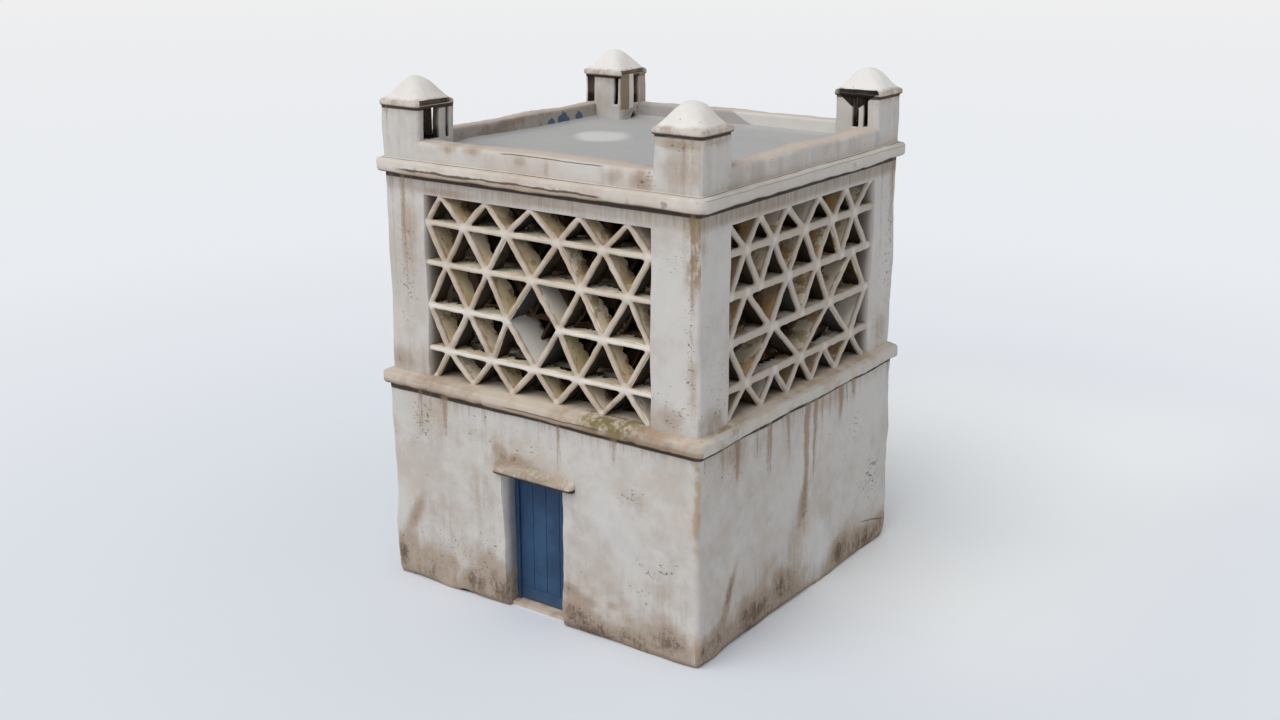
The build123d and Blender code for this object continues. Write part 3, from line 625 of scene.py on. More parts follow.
# %% Mouldings
def moulding(name, profile, halves, lift, chipped, seed):
    """A closed profile of (offset, level, dirt and shade) carried round a rounded square: each point
    keeps its offset from the wall's face, waves lift the nose, and chips take some of it away. The last
    row is joined to the first. Gives the finished piece, which keeps the dirt and painted shade."""
    columns = columns_round(halves, 0.03, step=0.03, bends=5)
    profile = np.asarray(profile, float)
    points = np.zeros((len(profile), len(columns[0]), 3))
    plans = [place_columns(columns, np.add(halves, off), max(0.03 + off, 0.006)) for off in profile[:, 0]]
    points[..., :2] = [plan for plan, _ in plans]
    points[..., 2] = profile[:, 1][:, None]
    proud = np.clip(profile[:, 0] / profile[:, 0].max(), 0, 1)[:, None]
    points[..., 2] += (
        proud * (lift * waves(points, 1.7, seed)[..., 0] + 0.004 * waves(points, 0.3, seed + 1)[..., 0])
    )
    normal = place_columns(columns, halves, 0.03)[1]
    bite = np.clip(waves(points, 0.33, seed + 2)[..., 1] - 1.25, 0, 0.5) * chipped
    bite = bite + 0.003 * waves(points, 0.16, seed + 3)[..., 2]
    points[..., :2] -= (proud * bite)[..., None] * normal
    points[..., :2] += uneven(points, 0.9)[..., :2]
    rows, count = points.shape[:2]
    faces = grid_quads(rows, count)
    joint = faces[:count].copy()
    joint[:, :2] += (rows - 1) * count
    joint[:, 2:] -= count
    heap = Heap()
    heap.add(points, [faces, joint], grime=np.repeat(profile[:, 2], count))
    return heap.piece(name, crease=60)


def underside(foot):
    """A moulding's underside, from deep in the wall out to its face, dark with soot and painted shade."""
    return [(-0.34, foot + 0.002, 1), (-0.1, foot + 0.002, 1), (0.004, foot, 1)]


def nose(reach, low, high, under, over):
    """Outer half of a moulding's profile, with a quarter circle at its lower and upper corner. The
    lower corner is dark with the dirt of the drip and with painted shade."""
    turn = [(math.sin(a), math.cos(a)) for a in np.linspace(0, np.pi / 2, 5)]
    lower = [(reach - under + under * sin, low + under - under * cos, 1 - sin ** 6) for sin, cos in turn]
    upper = [(reach - over + over * cos, high - over + over * sin, 0) for sin, cos in turn]
    return lower + upper


course_low, course_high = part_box("string_course_front_back")
crown_low, crown_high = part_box("cornice_front_back")
foot, top = course_low[2], course_high[2]
profile = underside(foot) + nose(0.07, foot - 0.006, foot + 0.138, 0.035, 0.028)
profile += [(-0.02, top - 0.010, 0), (-0.06, top - 0.002, 0), (-0.2, top, 0.1), (-0.34, top, 0.4)]
string_course = moulding("string_course", profile, (half_x, half_y), 0.011, 0.05, 21)
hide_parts("string_course_front_back", "string_course_sides")

foot, top = crown_low[2], crown_high[2]
profile = underside(foot) + [(0.03, foot - 0.004, 1)] + nose(0.09, foot - 0.002, foot + 0.15, 0.032, 0.03)
profile += [(0.030, top - 0.012, 0), (0.018, top - 0.016, 1), (0.010, top - 0.004, 0)]
profile += [(-0.05, top + 0.001, 0), (-0.34, top, 0)]
cornice = moulding("cornice", profile, (upper_x, upper_y), 0.010, 0.06, 31)
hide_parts("cornice_front_back", "cornice_sides")

# %% [markdown]
# ## Slates
# The lattices are thin slates leant against each other in rows, with level slates between the rows.
# One slate is a thin section carried from one meeting to the next, with a straight front edge, which
# plaster will cover, and a back edge broken at random. Its points remember how deep they lie, the
# slate's own tone, and how high up the slate they are, and the finish is made from those. Lime
# fills the corner behind the plaster, so the section widens towards the front.

# %% One slate
SLATE = np.array([(-0.95, 0.0), (-0.72, 0.12), (-0.52, 0.35), (-0.5, 0.7), (-0.4, 1.0)])
SLATE = np.concatenate([SLATE, SLATE[::-1] * (-1, 1)])      # (across, depth), and its mirror image


def behind_face(side, along, level, depth):
    """Points on a side of the loft: along it from its middle, at a level, so deep behind its face."""
    along, level, depth = np.broadcast_arrays(along, level, depth)
    face = (upper_y, upper_x)[side % 2]
    points = np.zeros((*along.shape, 3))
    points[..., :2] = along[..., None] * ALONG[side] + (face - depth)[..., None] * OUTWARD[side]
    points[..., 2] = level
    return points


def straight(start, end):
    """The ends as arrays, the length between them, and the direction across it on the wall."""
    start, end = np.array(start, float), np.array(end, float)
    length = float(np.hypot(*(end - start)))
    return start, end, length, np.array([start[1] - end[1], end[0] - start[0]]) / length


def slate(heap, side, start, end, thick, near, far, tone, random, ragged=0.03, step=0.05, flare=1.0):
    """One slate from start to end, both (along, level). Its section is thick across and runs from
    depth near to depth far, which wanders by ragged from step to step. With no flare it keeps its
    thickness up to the front."""
    start, end, length, across = straight(start, end)
    count = max(3, math.ceil(length / step) + 1)
    reach = np.linspace(0, 1, count)
    back = (
        far + ragged * (random.uniform(-1, 1, count)
        + np.sin(reach * random.uniform(2, 6) + random.uniform(0, 6)))
    )
    middle = start + reach[:, None] * (end - start)
    flat = middle[:, None, :] + thick * np.clip(SLATE[:, :1], -0.5 - flare, 0.5 + flare) * across
    depth = near + (back[:, None] - near) * SLATE[:, 1]
    points = behind_face(side, flat[..., 0], flat[..., 1], depth)
    points += 0.003 * waves(points, 0.28, 5) + 0.001 * waves(points, 0.07, 6)
    low, high = sorted((start[1], end[1]))
    lift = (flat[..., 1] - low) / max(high - low, 0.2)
    faces = [block[:, ::-1] for block in tube_faces(count, len(SLATE))]
    heap.add(points, faces, depth=depth.reshape(-1), tone=tone, lift=lift.reshape(-1))


# %% [markdown]
# ## Plaster on the slates
# At the front every slate carries a rounded bar of plaster, and where the bars meet, their plaster
# has run together in a star. We lay down plain tubes and flattened balls that overlap, fuse them
# into one skin, and soften it. That gives the swellings and hollows of hand-laid plaster, which no
# single profile has.

# %% Plaster bars and stars
BAR_THICK, BALL_THICK = 0.066, 0.07         # plaster on a slate and at a meeting, out of the wall
BAR_SIDES, BALL_RINGS, BALL_SIDES = 12, 5, 10


def bar(heap, side, start, end, width, near, swell, power=0.65):
    """A tube from start to end, its section a circle pressed towards a square by power: as wide as
    width times one plus swell times a bell at each end, its front at depth near."""
    start, end, length, across = straight(start, end)
    reach = np.linspace(0, 1, max(5, math.ceil(length / 0.06) + 1))
    turn = np.arange(BAR_SIDES) / BAR_SIDES * 2 * np.pi
    cos, sin = (np.sign(v) * abs(v) ** power for v in (np.cos(turn), np.sin(turn)))
    bells = sum(np.exp(-((share * length / 0.075) ** 2)) for share in (reach, 1 - reach))
    wide = width * (1 + swell * bells)[:, None] / 2 * cos
    depth = near + BAR_THICK / 2 * (1 - sin)
    flat = (start + reach[:, None] * (end - start))[:, None, :] + wide[..., None] * across
    points = behind_face(side, flat[..., 0], flat[..., 1], depth)
    heap.add(points, tube_faces(len(reach), BAR_SIDES))


def ball(heap, side, place, size, near):
    """A flattened ball at a meeting: rings round the way out of the wall, closed at both poles."""
    rise = np.linspace(-np.pi / 2, np.pi / 2, BALL_RINGS + 2)[1:-1, None]
    turn = np.arange(BALL_SIDES) / BALL_SIDES * 2 * np.pi
    along = place[0] + size * np.cos(rise) * np.cos(turn)
    level = place[1] + size * np.cos(rise) * np.sin(turn)
    points = behind_face(side, along, level, near + BALL_THICK / 2 * (1 - np.sin(rise)))
    heap.add(points, tube_faces(BALL_RINGS, BALL_SIDES))


# %% [markdown]
# ## The lattices
# Each row says where its slates meet, in tenths of the opening from its left end, in turn at the
# foot and at the head of the row. These are the same numbers that the construction uses, so each
# star sits where the solid has one. In the middle of the door side, and of the back, the slates are
# clean and new.

# %% Lattices
ROW_HEIGHTS = [0.335, 0.510, 0.505, 0.465, 0.315]
DOOR_SIDE_ROWS = [
    ("foot", [0.19, 0.87, 2.02, 2.95, 3.88, 4.94, 5.90, 6.89, 7.88, 8.91, 9.81]),
    ("head", [0.00, 0.87, 1.89, 2.95, 3.69, 4.94, 6.03, 6.89, 7.95, 8.91, 9.90]),
    ("foot", [0.00, 0.90, 1.89, 2.82, 3.69, 4.87, 6.03, 7.02, 7.95, 9.01, 9.90]),
    ("head", [0.03, 0.90, 1.79, 2.82, 3.75, 4.87, 6.06, 7.02, 7.98, 9.01, 9.90]),
    ("foot", [0.03, 0.71, 1.79, 2.85, 3.75, 4.87, 6.06, 7.02, 7.98, 9.01, 9.90]),
]
GABLE_SIDE_ROWS = [
    ("foot", [0.13, 1.23, 2.26, 3.11, 4.06, 4.94, 5.79, 6.67, 7.61, 8.68, 9.72]),
    ("head", [0.09, 1.23, 3.05, 4.94, 6.95, 8.68, 9.81]),
    ("foot", [0.09, 1.16, 2.80, 3.90, 4.91, 5.94, 6.95, 8.62, 9.72]),
    ("foot", [0.13, 1.07, 2.01, 2.86, 3.90, 4.94, 5.94, 6.89, 7.74, 8.62, 9.72]),
    ("head", [0.00, 1.07, 1.95, 2.86, 3.74, 5.00, 5.94, 7.08, 7.92, 8.68, 9.78]),
]
WHOLE = [(0, 10)]
LEVEL_SLATES = [[WHOLE, [(0, 3.69), (6.03, 10)], WHOLE, WHOLE]] + [[WHOLE] * 4] * 3
row_foot = loft_level + np.concatenate([[0], np.cumsum(ROW_HEIGHTS)])
SIDE_NAMES = ["front", "right", "back", "left"]
BAR_WIDE = 0.066            # a leaning slate with its plaster
LEVEL_WIDE = (0.060, 0.090)                 # a level one, on the door side and on the gable side

for side, name in enumerate(SIDE_NAMES):
    random = np.random.default_rng(40 + side)
    opening = 2 * (pier_edge_x, pier_edge_y)[side % 2]
    swell = (-0.22, 0.35)[side % 2]
    stone, plaster, stars = Heap(), Heap(), []
    for row, (begin, meetings) in enumerate((DOOR_SIDE_ROWS, GABLE_SIDE_ROWS)[side % 2]):
        first = 0 if begin == "foot" else 1
        nodes = [(opening * (m / 10 - 0.5), row_foot[row + (first + i) % 2]) for i,
            m in enumerate(meetings)]
        for a, b in zip(nodes, nodes[1:]):
            near = 0.018 + random.uniform(-0.004, 0.006)
            bar(plaster, side, a, b, BAR_WIDE * random.uniform(0.85, 1.15), near, swell)
            new = side % 2 == 0 and abs(a[0] + b[0]) < 0.9 and 5.9 < a[1] + b[1] < 7.7
            tone = 1.0 if new else random.uniform(0, 0.86)
            far = 0.52 if new else random.uniform(0.29, 0.35)
            slate(stone, side, a, b, random.uniform(0.026, 0.036), 0.05, far, tone, random,
                0.012 if new else 0.03)
        stars += nodes
    for node in stars:
        ball(plaster, side, node, random.uniform(0.040, 0.050) * (1 + 0.3 * (side % 2)), 0.016)
    for level, spans in enumerate(LEVEL_SLATES[side], start=1):
        for begin, end in spans:
            built_in = [(t, 0.05 * ((t == 10) - float(t == 0))) for t in (begin, end)]
            ends = [(opening * (t / 10 - 0.5) + more, row_foot[level]) for t, more in built_in]
            bar(plaster, side, *ends, LEVEL_WIDE[side % 2], 0.016, 0, power=0.45)
            slate(stone, side, *ends, 0.034, 0.05, 0.27, (0.7, 0.9)[side % 2], random, 0.05, step=0.035)
    lattice = stone.piece(f"lattice_slates_{name}")
    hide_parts(f"lattice_{name}")
    points, quads = plaster.fused(0.0145, 4)
    points += 0.0028 * waves(points, 0.2, 5) + 0.0014 * waves(points, 0.09, 6)
    flat = np.stack([points[:, :2] @ ALONG[side], points[:, 2]], -1)
    far = np.min(np.linalg.norm(flat[:, None, :] - np.array(stars)[None], axis=-1), axis=1)
    level = np.min(abs(points[:, 2:] - row_foot[1:-1]), axis=1)
    skin = Heap()
    depth = (upper_y, upper_x)[side % 2] - points[:, :2] @ OUTWARD[side]
    star, level = np.exp(-((far / 0.065) ** 2)), np.exp(-((level / 0.03) ** 2))
    skin.add(points, [quads], star=star, level=level, depth=depth)
    skin.piece(f"lattice_plaster_{name}", crease=80)

# %% [markdown]
# ## The nests
# Behind each lattice stands a second layer of slates, older and dirtier, that makes the nests:
# leaning pairs, level shelves, and upright slates that close them off from the loft. Flight holes
# are left in that last layer, one here and there.

# %% Nests
NEST_PITCHES = 5
FLIGHT_HOLES = [{2: (-1, 0, 1)}, {1: (-1, 1), 3: (0,)}]         # row: pitches from the middle
NEST_BACK = 0.545           # depth of the nests' slates at their back
HOLE_HALF, HOLE_HEAD = 0.07, 0.19           # half a flight hole's width, and its head over the row
for pair in (0, 1):
    heap = Heap()
    opening = 2 * (pier_edge_x, pier_edge_y)[pair]
    pitch = opening / NEST_PITCHES
    for side in (pair, pair + 2):
        random = np.random.default_rng(60 + side)
        for row, height in enumerate(ROW_HEIGHTS):
            foot = row_foot[row]
            places = (np.arange(2 * NEST_PITCHES + 1) / 2 - NEST_PITCHES / 2) * pitch
            jitter = random.uniform(-0.05, 0.05, len(places))
            jitter[[0, -1]] = 0
            nodes = [(x + j, foot + height * (i % 2)) for i, (x, j) in enumerate(zip(places, jitter))]
            for a, b in zip(nodes, nodes[1:]):
                near = 0.37 + random.uniform(-0.03, 0.05)
                slate(heap, side, a, b, 0.030, near, NEST_BACK, random.uniform(0, 1), random, 0.01,
                    flare=0)
            if row:
                tone = random.uniform(0, 1)
                shelf = ((-opening / 2, foot), (opening / 2, foot))
                slate(heap, side, *shelf, 0.036, 0.35, NEST_BACK, tone, random, 0.008, flare=0)
            holes = [step * pitch for step in FLIGHT_HOLES[pair].get(row, ())]
            marks = sorted([-opening / 2, opening / 2,
                *[h + s * HOLE_HALF for h in holes for s in (-1, 1)]])
            for left, right in zip(marks, marks[1:]):
                over_hole = any(left < h < right and right - left < 0.15 for h in holes)
                low = foot + (HOLE_HEAD if over_hole else 0)
                middle, tall = (low + foot + height) / 2, foot + height - low
                ends = ((left, middle), (right, middle))
                slate(heap, side, *ends, tall, 0.555, 0.6, 0.2, random, 0, step=0.2, flare=0)
    nests = heap.piece(f"nest_slates_{('front_back', 'sides')[pair]}")
    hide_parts(f"nest_slabs_{('front_back', 'sides')[pair]}")

# %% [markdown]
# ## Parapets
# The parapet is a low wall of rubble under a thick cap of lime. Its section is a block with its top
# edges rounded over, carried from turret to turret.

# %% Parapets
roof_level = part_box("roof_slab")[1][2]
turret_low, turret_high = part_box("turret_front_left")
turret_half = (turret_high[0] - turret_low[0]) / 2
parapet_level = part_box("parapet_front")[1][2]
ROOF_STAINS = [
    [
        (-1.15, 5.33, 0.14, 0.06, 0, 0.8), (-0.80, 5.34, 0.14, 0.07, 0, 0.9),
        (-0.15, 5.28, 0.10, 0.08, 0, 0.6), (0.22, 5.24, 0.05, 0.12, 0, 0.6),
        (1.10, 5.26, 0.16, 0.10, 0, 0.7), (1.45, 5.24, 0.14, 0.12, 0, 1.0),
        (1.90, 5.64, 0.32, 0.06, 0, 1.0), (1.95, 5.40, 0.30, 0.24, 0, 0.75),
    ],
    [
        (-1.9, 5.66, 0.3, 0.04, 0, 0.6), (2.0, 5.5, 0.1, 0.2, 0, 0.4), (0.3, 5.3, 0.6, 0.04, 0, 0.3),
    ],
] * 2
ROOF_STREAKS = [
    [
        (-2.06, 5.75, 5.2, 0.025, 0.8), (-1.86, 5.75, 5.45, 0.03, 0.5), (1.75, 5.75, 5.5, 0.03, 0.6),
        (2.05, 5.75, 5.3, 0.04, 0.5),
    ],
    [
        (-2.10, 5.75, 5.3, 0.02, 0.6), (-1.97, 5.75, 5.4, 0.02, 0.5), (-1.80, 5.75, 5.3, 0.02, 0.5),
        (-1.2, 5.4, 5.0, 0.05, 0.4), (-0.5, 5.4, 5.0, 0.05, 0.4), (0.3, 5.4, 5.0, 0.06, 0.5),
        (1.0, 5.4, 5.0, 0.05, 0.5), (1.9, 5.75, 5.3, 0.03, 0.5),
    ],
] * 2
ROOF_FLAKED = [
    [
        (1.50, 5.26, 0.14, 0.12, 0, 1.2), (1.9, 5.62, 0.3, 0.05, 0, 0.9),
    ],
    [
        (-0.6, 5.39, 1.4, 0.03, 0, 0.8),
    ],
] * 2
# The inner face of the back parapet is painted lit above this line of (place along X, level) and
# shaded below it: a painted cast shadow.
shadow_edge_x, shadow_edge_level = np.array([(-1.6, 5.6), (-0.60, 5.46), (-0.41, 5.43), (-0.14, 5.39), (0.10, 5.25),
    (0.28, 5.18), (0.75, 5.17), (1.34, 5.20), (1.6, 5.22)]).T
heap = Heap()
for side, name in enumerate(SIDE_NAMES):
    low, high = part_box(f"parapet_{name}")
    thickness = (high - low)[(side + 1) % 2]
    half_along = (upper_x, upper_y)[side % 2]
    run = np.linspace(-half_along + 0.5, half_along - 0.5, 110)
    turn = np.linspace(0, np.pi / 2, 5)
    r, toe = 0.045, thickness + 0.012
    section = [(0.0, roof_level - 0.02), (0.0, roof_level + 0.05), (0.0, roof_level + 0.11)]
    section += [(r - r * math.cos(a), parapet_level - r + r * math.sin(a)) for a in turn]
    section += [(thickness / 2, parapet_level + 0.006)]
    section += [(thickness - r + r * math.sin(a), parapet_level - r + r * math.cos(a)) for a in turn]
    section += [(thickness, roof_level + 0.09), (toe, roof_level + 0.03), (toe, roof_level - 0.02)]
    section = np.array(section)
    points = behind_face(side, run[None, :], section[:, 1:], section[:, :1])
    points[..., :2] += uneven(points, 0.9)[..., :2]
    top = np.clip((section[:, 1] - roof_level - 0.05) / 0.16, 0, 1)[:, None]
    points[..., 2] += (
        top * (0.007 * waves(points, 1.1, 51)[..., 0] + 0.003 * waves(points, 0.25, 52)[..., 1])
    )
    inner = np.repeat(np.clip((section[:, 0] - thickness / 2) / 0.03, 0, 1), len(run))
    shine = np.interp(points[..., 0], shadow_edge_x, shadow_edge_level).reshape(-1)
    marks = wear(points.reshape(-1, 3), (upper_x, upper_y), ROOF_STAINS, ROOF_STREAKS, ROOF_FLAKED)
    heap.add(points, length_faces(len(section), len(run)), inner=inner, shine=shine, **marks)
parapets = heap.piece("parapets", crease=60)
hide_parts(*[f"parapet_{name}" for name in SIDE_NAMES])

# %% [markdown]
# ## Roof deck
# The roof is beaten lime, trowelled smooth and dished a little. It is a height field: level, with
# gentle waves, and swept up where it meets the parapets so that rain runs off.

# %% Roof deck
west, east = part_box("parapet_left")[1][0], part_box("parapet_right")[0][0]
south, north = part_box("parapet_front")[1][1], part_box("parapet_back")[0][1]
lap = 0.05                  # the deck runs on under the parapets
x = np.linspace(west - lap, east + lap, 110)
y = np.linspace(south - lap, north + lap, 110)
deck = np.stack(np.meshgrid(x, y), -1)
gap = np.minimum(
    np.minimum(deck[..., 0] - west, east - deck[..., 0]),
    np.minimum(deck[..., 1] - south, north - deck[..., 1]),
)
height = roof_level + 0.014 + 0.045 * np.exp(-np.clip(gap, 0, 1) / 0.035)
upper = np.concatenate([deck, height[..., None]], -1)
upper[..., 2] += 0.004 * waves(upper, 1.3, 71)[..., 0] + 0.0012 * waves(upper, 0.25, 72)[..., 0]
lower = np.concatenate([deck, np.full((*deck.shape[:2], 1), roof_level - 0.03)], -1)
heap = Heap()
rows, columns = len(y), len(x)
count = columns * rows
quads = grid_quads(rows, columns, closed=False)
border = np.concatenate([
    np.arange(columns),
    np.arange(1, rows) * columns + columns - 1,
    (rows - 1) * columns + np.arange(columns - 2, -1, -1),
    np.arange(rows - 2, 0, -1) * columns,
])
skirt = np.stack([border + count, np.roll(border, -1) + count, np.roll(border, -1), border], -1)
heap.add(np.concatenate([upper.reshape(-1, 3), lower.reshape(-1, 3)]),
    [quads, quads[:, ::-1] + count, skirt])
roof_deck = heap.piece("roof_deck", crease=60)

# %% [markdown]
# ## Turrets
# A turret is a small hollow box on each corner. Its outer sides are closed, and the two that look
# over the roof are open between posts. It is the wall shell once more, on a small scale, with a
# little triangular hole in its foot. A plug of masonry fills the foot below the chamber. In the front
# left turret a slate stands on edge inside, and leaves only a narrow gap of daylight.

# %% Turret bodies
TURRET_WALL = 0.095
SLOT_HEAD = 0.012           # head of the slots under the cap
HOLE_LOW, HOLE_HIGH = 0.015, 0.11           # the triangular hole, over the roof
CORNERS = {"front_left": (-1, -1), "front_right": (1, -1), "back_right": (1, 1), "back_left": (-1, 1)}
TURRET_SLOTS = {
    "front_left": {"x": [(0.085, 0.055), (0.236, 0.250)], "y": [(0.085, 0.055), (0.236, 0.250)]},
    "front_right": {"x": [(0.090, 0.150), (0.340, 0.140)], "y": [(0.090, 0.150), (0.340, 0.140)]},
    "back_right": {"x": [(0.090, 0.150), (0.340, 0.140)], "y": [(0.225, 0.080), (0.370, 0.060)]},
    "back_left": {"x": [(0.290, 0.110)], "y": [(0.020, 0.090), (0.430, 0.130)]},
}
cap_level = turret_high[2]


def square_turning(heap, centre, rows, turns, cut=None, **values):
    """A closed body of level sections: each row is (level, half width, squareness) of a square with
    soft corners, a superellipse, and the first and last are closed. cut may push points back."""
    angle = (np.arange(turns) + 0.5) / turns * 2 * np.pi
    rows = np.asarray(rows, float)
    cos, sin = np.cos(angle)[None, :], np.sin(angle)[None, :]
    reach = (abs(cos) ** rows[:, 2:3] + abs(sin) ** rows[:, 2:3]) ** (-1 / rows[:, 2:3]) * rows[:, 1:2]
    local = np.stack([reach * cos, reach * sin, np.broadcast_to(rows[:, :1], reach.shape)], -1)
    if cut is not None:
        whole = local
        local = cut(local)
        values["bare"] = np.clip(np.linalg.norm(local - whole, axis=-1) / 0.02, 0, 1).reshape(-1)
    points = local + np.array([*centre, 0.0])
    points += 0.004 * waves(points, 0.5, 81) + 0.0015 * waves(points, 0.12, 82)
    heap.add(points, tube_faces(len(rows), turns), **values)


def screen(heap, centre, low, high, **values):
    """A slate on edge inside a turret: a box between two corners measured from the turret's middle."""
    corners = [(x, y, z) for z in (low[2], high[2]) for y in (low[1], high[1]) for x in (low[0], high[0])]
    faces = [(0, 2, 3, 1), (4, 5, 7, 6), (0, 1, 5, 4), (2, 6, 7, 3), (0, 4, 6, 2), (1, 3, 7, 5)]
    heap.add(np.array(corners) + np.array([*centre, 0.0]), [faces], **values)


def turret_centre(east, north):
    """Middle of a turret: each stands flush with the two faces of its corner."""
    return east * (upper_x - turret_half), north * (upper_y - turret_half)


bodies = Heap()
for name, (east, north) in CORNERS.items():
    centre = turret_centre(east, north)
    openings = []
    for way in ("x", "y"):
        facing = np.array([-east, 0]) if way == "x" else np.array([0, -north])
        across = np.array([0, north]) if way == "x" else np.array([east, 0])
        side = int(np.argmax(OUTWARD @ facing))
        for start, slot in TURRET_SLOTS[name][way]:
            sense = float(across @ ALONG[side])
            ends = sorted(-sense * turret_half + sense * s for s in (start, start + slot))
            openings.append({
                "side": side, "ends": ends, "foot": parapet_level, "head": cap_level - SLOT_HEAD,
                "bevel": 0.012, "rings": [(0.012, 0), (0.05, 0)],
            })
        if way == "x":
            openings.append({
                "side": side, "ends": [-0.075, 0.075], "foot": roof_level + HOLE_LOW,
                "head": roof_level + HOLE_HIGH, "tip": 0.12, "rings": [(0.03, 0), (0.06, 0)],
            })
    stops = [sorted({round(e, 4) for o in openings if o["side"] == k for e in o["ends"]})
        for k in range(4)]
    columns = columns_round((turret_half, turret_half), 0.04, stops, step=0.028)
    levels = levels_between(
        roof_level - 0.02, roof_level + HOLE_LOW, roof_level + HOLE_HIGH, parapet_level,
        cap_level - SLOT_HEAD, cap_level + 0.02, step=0.03,
    )
    chamber_half = turret_half - TURRET_WALL
    points, faces, inside = wall_shell(
        columns, ((turret_half, turret_half), 0.04, centre), ((chamber_half, chamber_half), 0.01, centre),
        np.stack([levels, levels]), openings,
    )
    points[:, :2] += uneven(points, 0.9)[:, :2]
    bodies.add(points, faces, inside=inside,
        **wear(points, (upper_x, upper_y), ROOF_STAINS, ROOF_STREAKS, ROOF_FLAKED))
    plug = [(roof_level + 0.12, 0.22, 30), (parapet_level - 0.005, 0.22, 30)]
    square_turning(bodies, centre, plug, turns=24, inside=1.0, stain=0.0, streak=0.0, flaked=0.0)
    if name == "front_left":
        low = (TURRET_WALL - turret_half, 0.165, parapet_level - 0.01)
        high = (0.038, 0.193, cap_level + 0.01)
        screen(bodies, centre, low, high, inside=0.0, stain=0.7, streak=0.0, flaked=0.0)
turrets = bodies.piece("turrets", crease=55)
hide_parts(*[f"turret_{name}" for name in CORNERS])

# %% [markdown]
# ## Caps
# A cap is a square lip with a dome on it that starts square and ends round. As the rows rise, the
# half width shrinks along the dome's curve and the squareness drops from a box towards a circle.
# Three of the lips have lost a piece on the side that looks over the roof.

# %% Turret caps
BROKEN_LIPS = {"front_left": "x", "back_right": "y", "back_left": "x"}
cap_low, cap_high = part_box("turret_cap_front_left")
apex = cap_high[2]
lip_half = (cap_high[0] - cap_low[0]) / 2
lip_top = cap_level + 0.07
rise = apex - lip_top
# The dome's rows: share of the rise, half width as a share of the lip's, and squareness.
dome_curve = [
    (0.0, 0.945, 7), (0.04, 0.915, 6), (0.12, 0.86, 5), (0.22, 0.79, 4.2), (0.34, 0.715, 3.6),
    (0.47, 0.64, 3.2), (0.6, 0.56, 2.9), (0.72, 0.48, 2.6), (0.82, 0.395, 2.4), (0.9, 0.305, 2.2),
    (0.955, 0.21, 2.1), (0.985, 0.12, 2), (1.0, 0.04, 2),
]
caps = Heap()
for name, (east, north) in CORNERS.items():
    centre = turret_centre(east, north)

    def broken(local, name=name, east=east, north=north):
        """Push the lip back on its broken side, between the corners."""
        way = BROKEN_LIPS.get(name)
        if way is None:
            return local
        out = local[..., 0] * -east if way == "x" else local[..., 1] * -north
        sideways = local[..., 1] if way == "x" else local[..., 0]
        in_lip = (local[..., 2] < lip_top + 0.002) & (abs(sideways) < 0.245)
        wavy = lip_half - 0.085 + 0.010 * np.sin(sideways * 23)
        excess = np.where(in_lip, np.clip(out - wavy, 0, 1), 0)
        local = local.copy()
        if way == "x":
            local[..., 0] += excess * east
        else:
            local[..., 1] += excess * north
        return local

    rows = [(cap_level - 0.002, 0.2, 9), (cap_level - 0.002, lip_half - 0.02, 14),
        (cap_level + 0.008, lip_half - 0.004, 14),
        (cap_level + 0.03, lip_half, 14), (cap_level + 0.055, lip_half - 0.002, 13),
        (lip_top, lip_half - 0.014, 11)]
    rows += [(lip_top + share * rise, size * lip_half, power) for share, size, power in dome_curve]
    square_turning(caps, centre, rows, turns=72, cut=broken)
turret_caps = caps.piece("turret_caps", crease=48)
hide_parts(*[f"turret_cap_{name}" for name in CORNERS])

# %% [markdown]
# ## Hood
# Over the door a slate sticks out to throw the rain off, with a roll of plaster on it. It is a
# profile carried from end to end, thicker at one end, with both ends rounded off.

# %% Hood
hood_low, hood_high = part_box("door_hood")
run = np.linspace(0, 1, 60)
# The roll's profile, from the wall at its foot round to the wall at its top: (along Y, up). Minus is
# out of the wall.
roll = np.array([
    (0.02, 0.0), (-0.04, 0.0), (-0.078, 0.004), (-0.094, 0.018), (-0.1, 0.045), (-0.098, 0.075),
    (-0.086, 0.096), (-0.062, 0.108), (-0.035, 0.125), (-0.012, 0.150), (0.02, 0.175),
])
points = np.zeros((len(roll), len(run), 3))
end_taper = np.clip(np.minimum(run, 1 - run) * 60 / 1.6, 0, 1) ** 0.5
points[..., 0] = hood_low[0] + run * (hood_high[0] - hood_low[0])
points[..., 1] = -half_y + roll[:, :1] * (0.55 + 0.45 * end_taper)
thick = (1.12 - 0.3 * run) * (0.85 + 0.15 * end_taper)
points[..., 2] = hood_low[2] + roll[:, 1:] * thick + 0.004
points += 0.006 * waves(points, 0.5, 91) + 0.003 * waves(points, 0.13, 92)
heap = Heap()
heap.add(points, length_faces(len(roll), len(run)))
hood = heap.piece("hood", crease=60)
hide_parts("door_hood")

# %% [markdown]
# ## Writing shader sums
# A finish is a sum of masks: a damp foot, streaks under a ledge, spots of dirt. Blender draws such
# sums as webs of nodes. We wrap a node's output in a small class, so that a sum can be written as
# one, and every sign adds its own Math node. A finish then starts from one colour, and coat lays
# the next one over it wherever a mask says so, as a painter would.

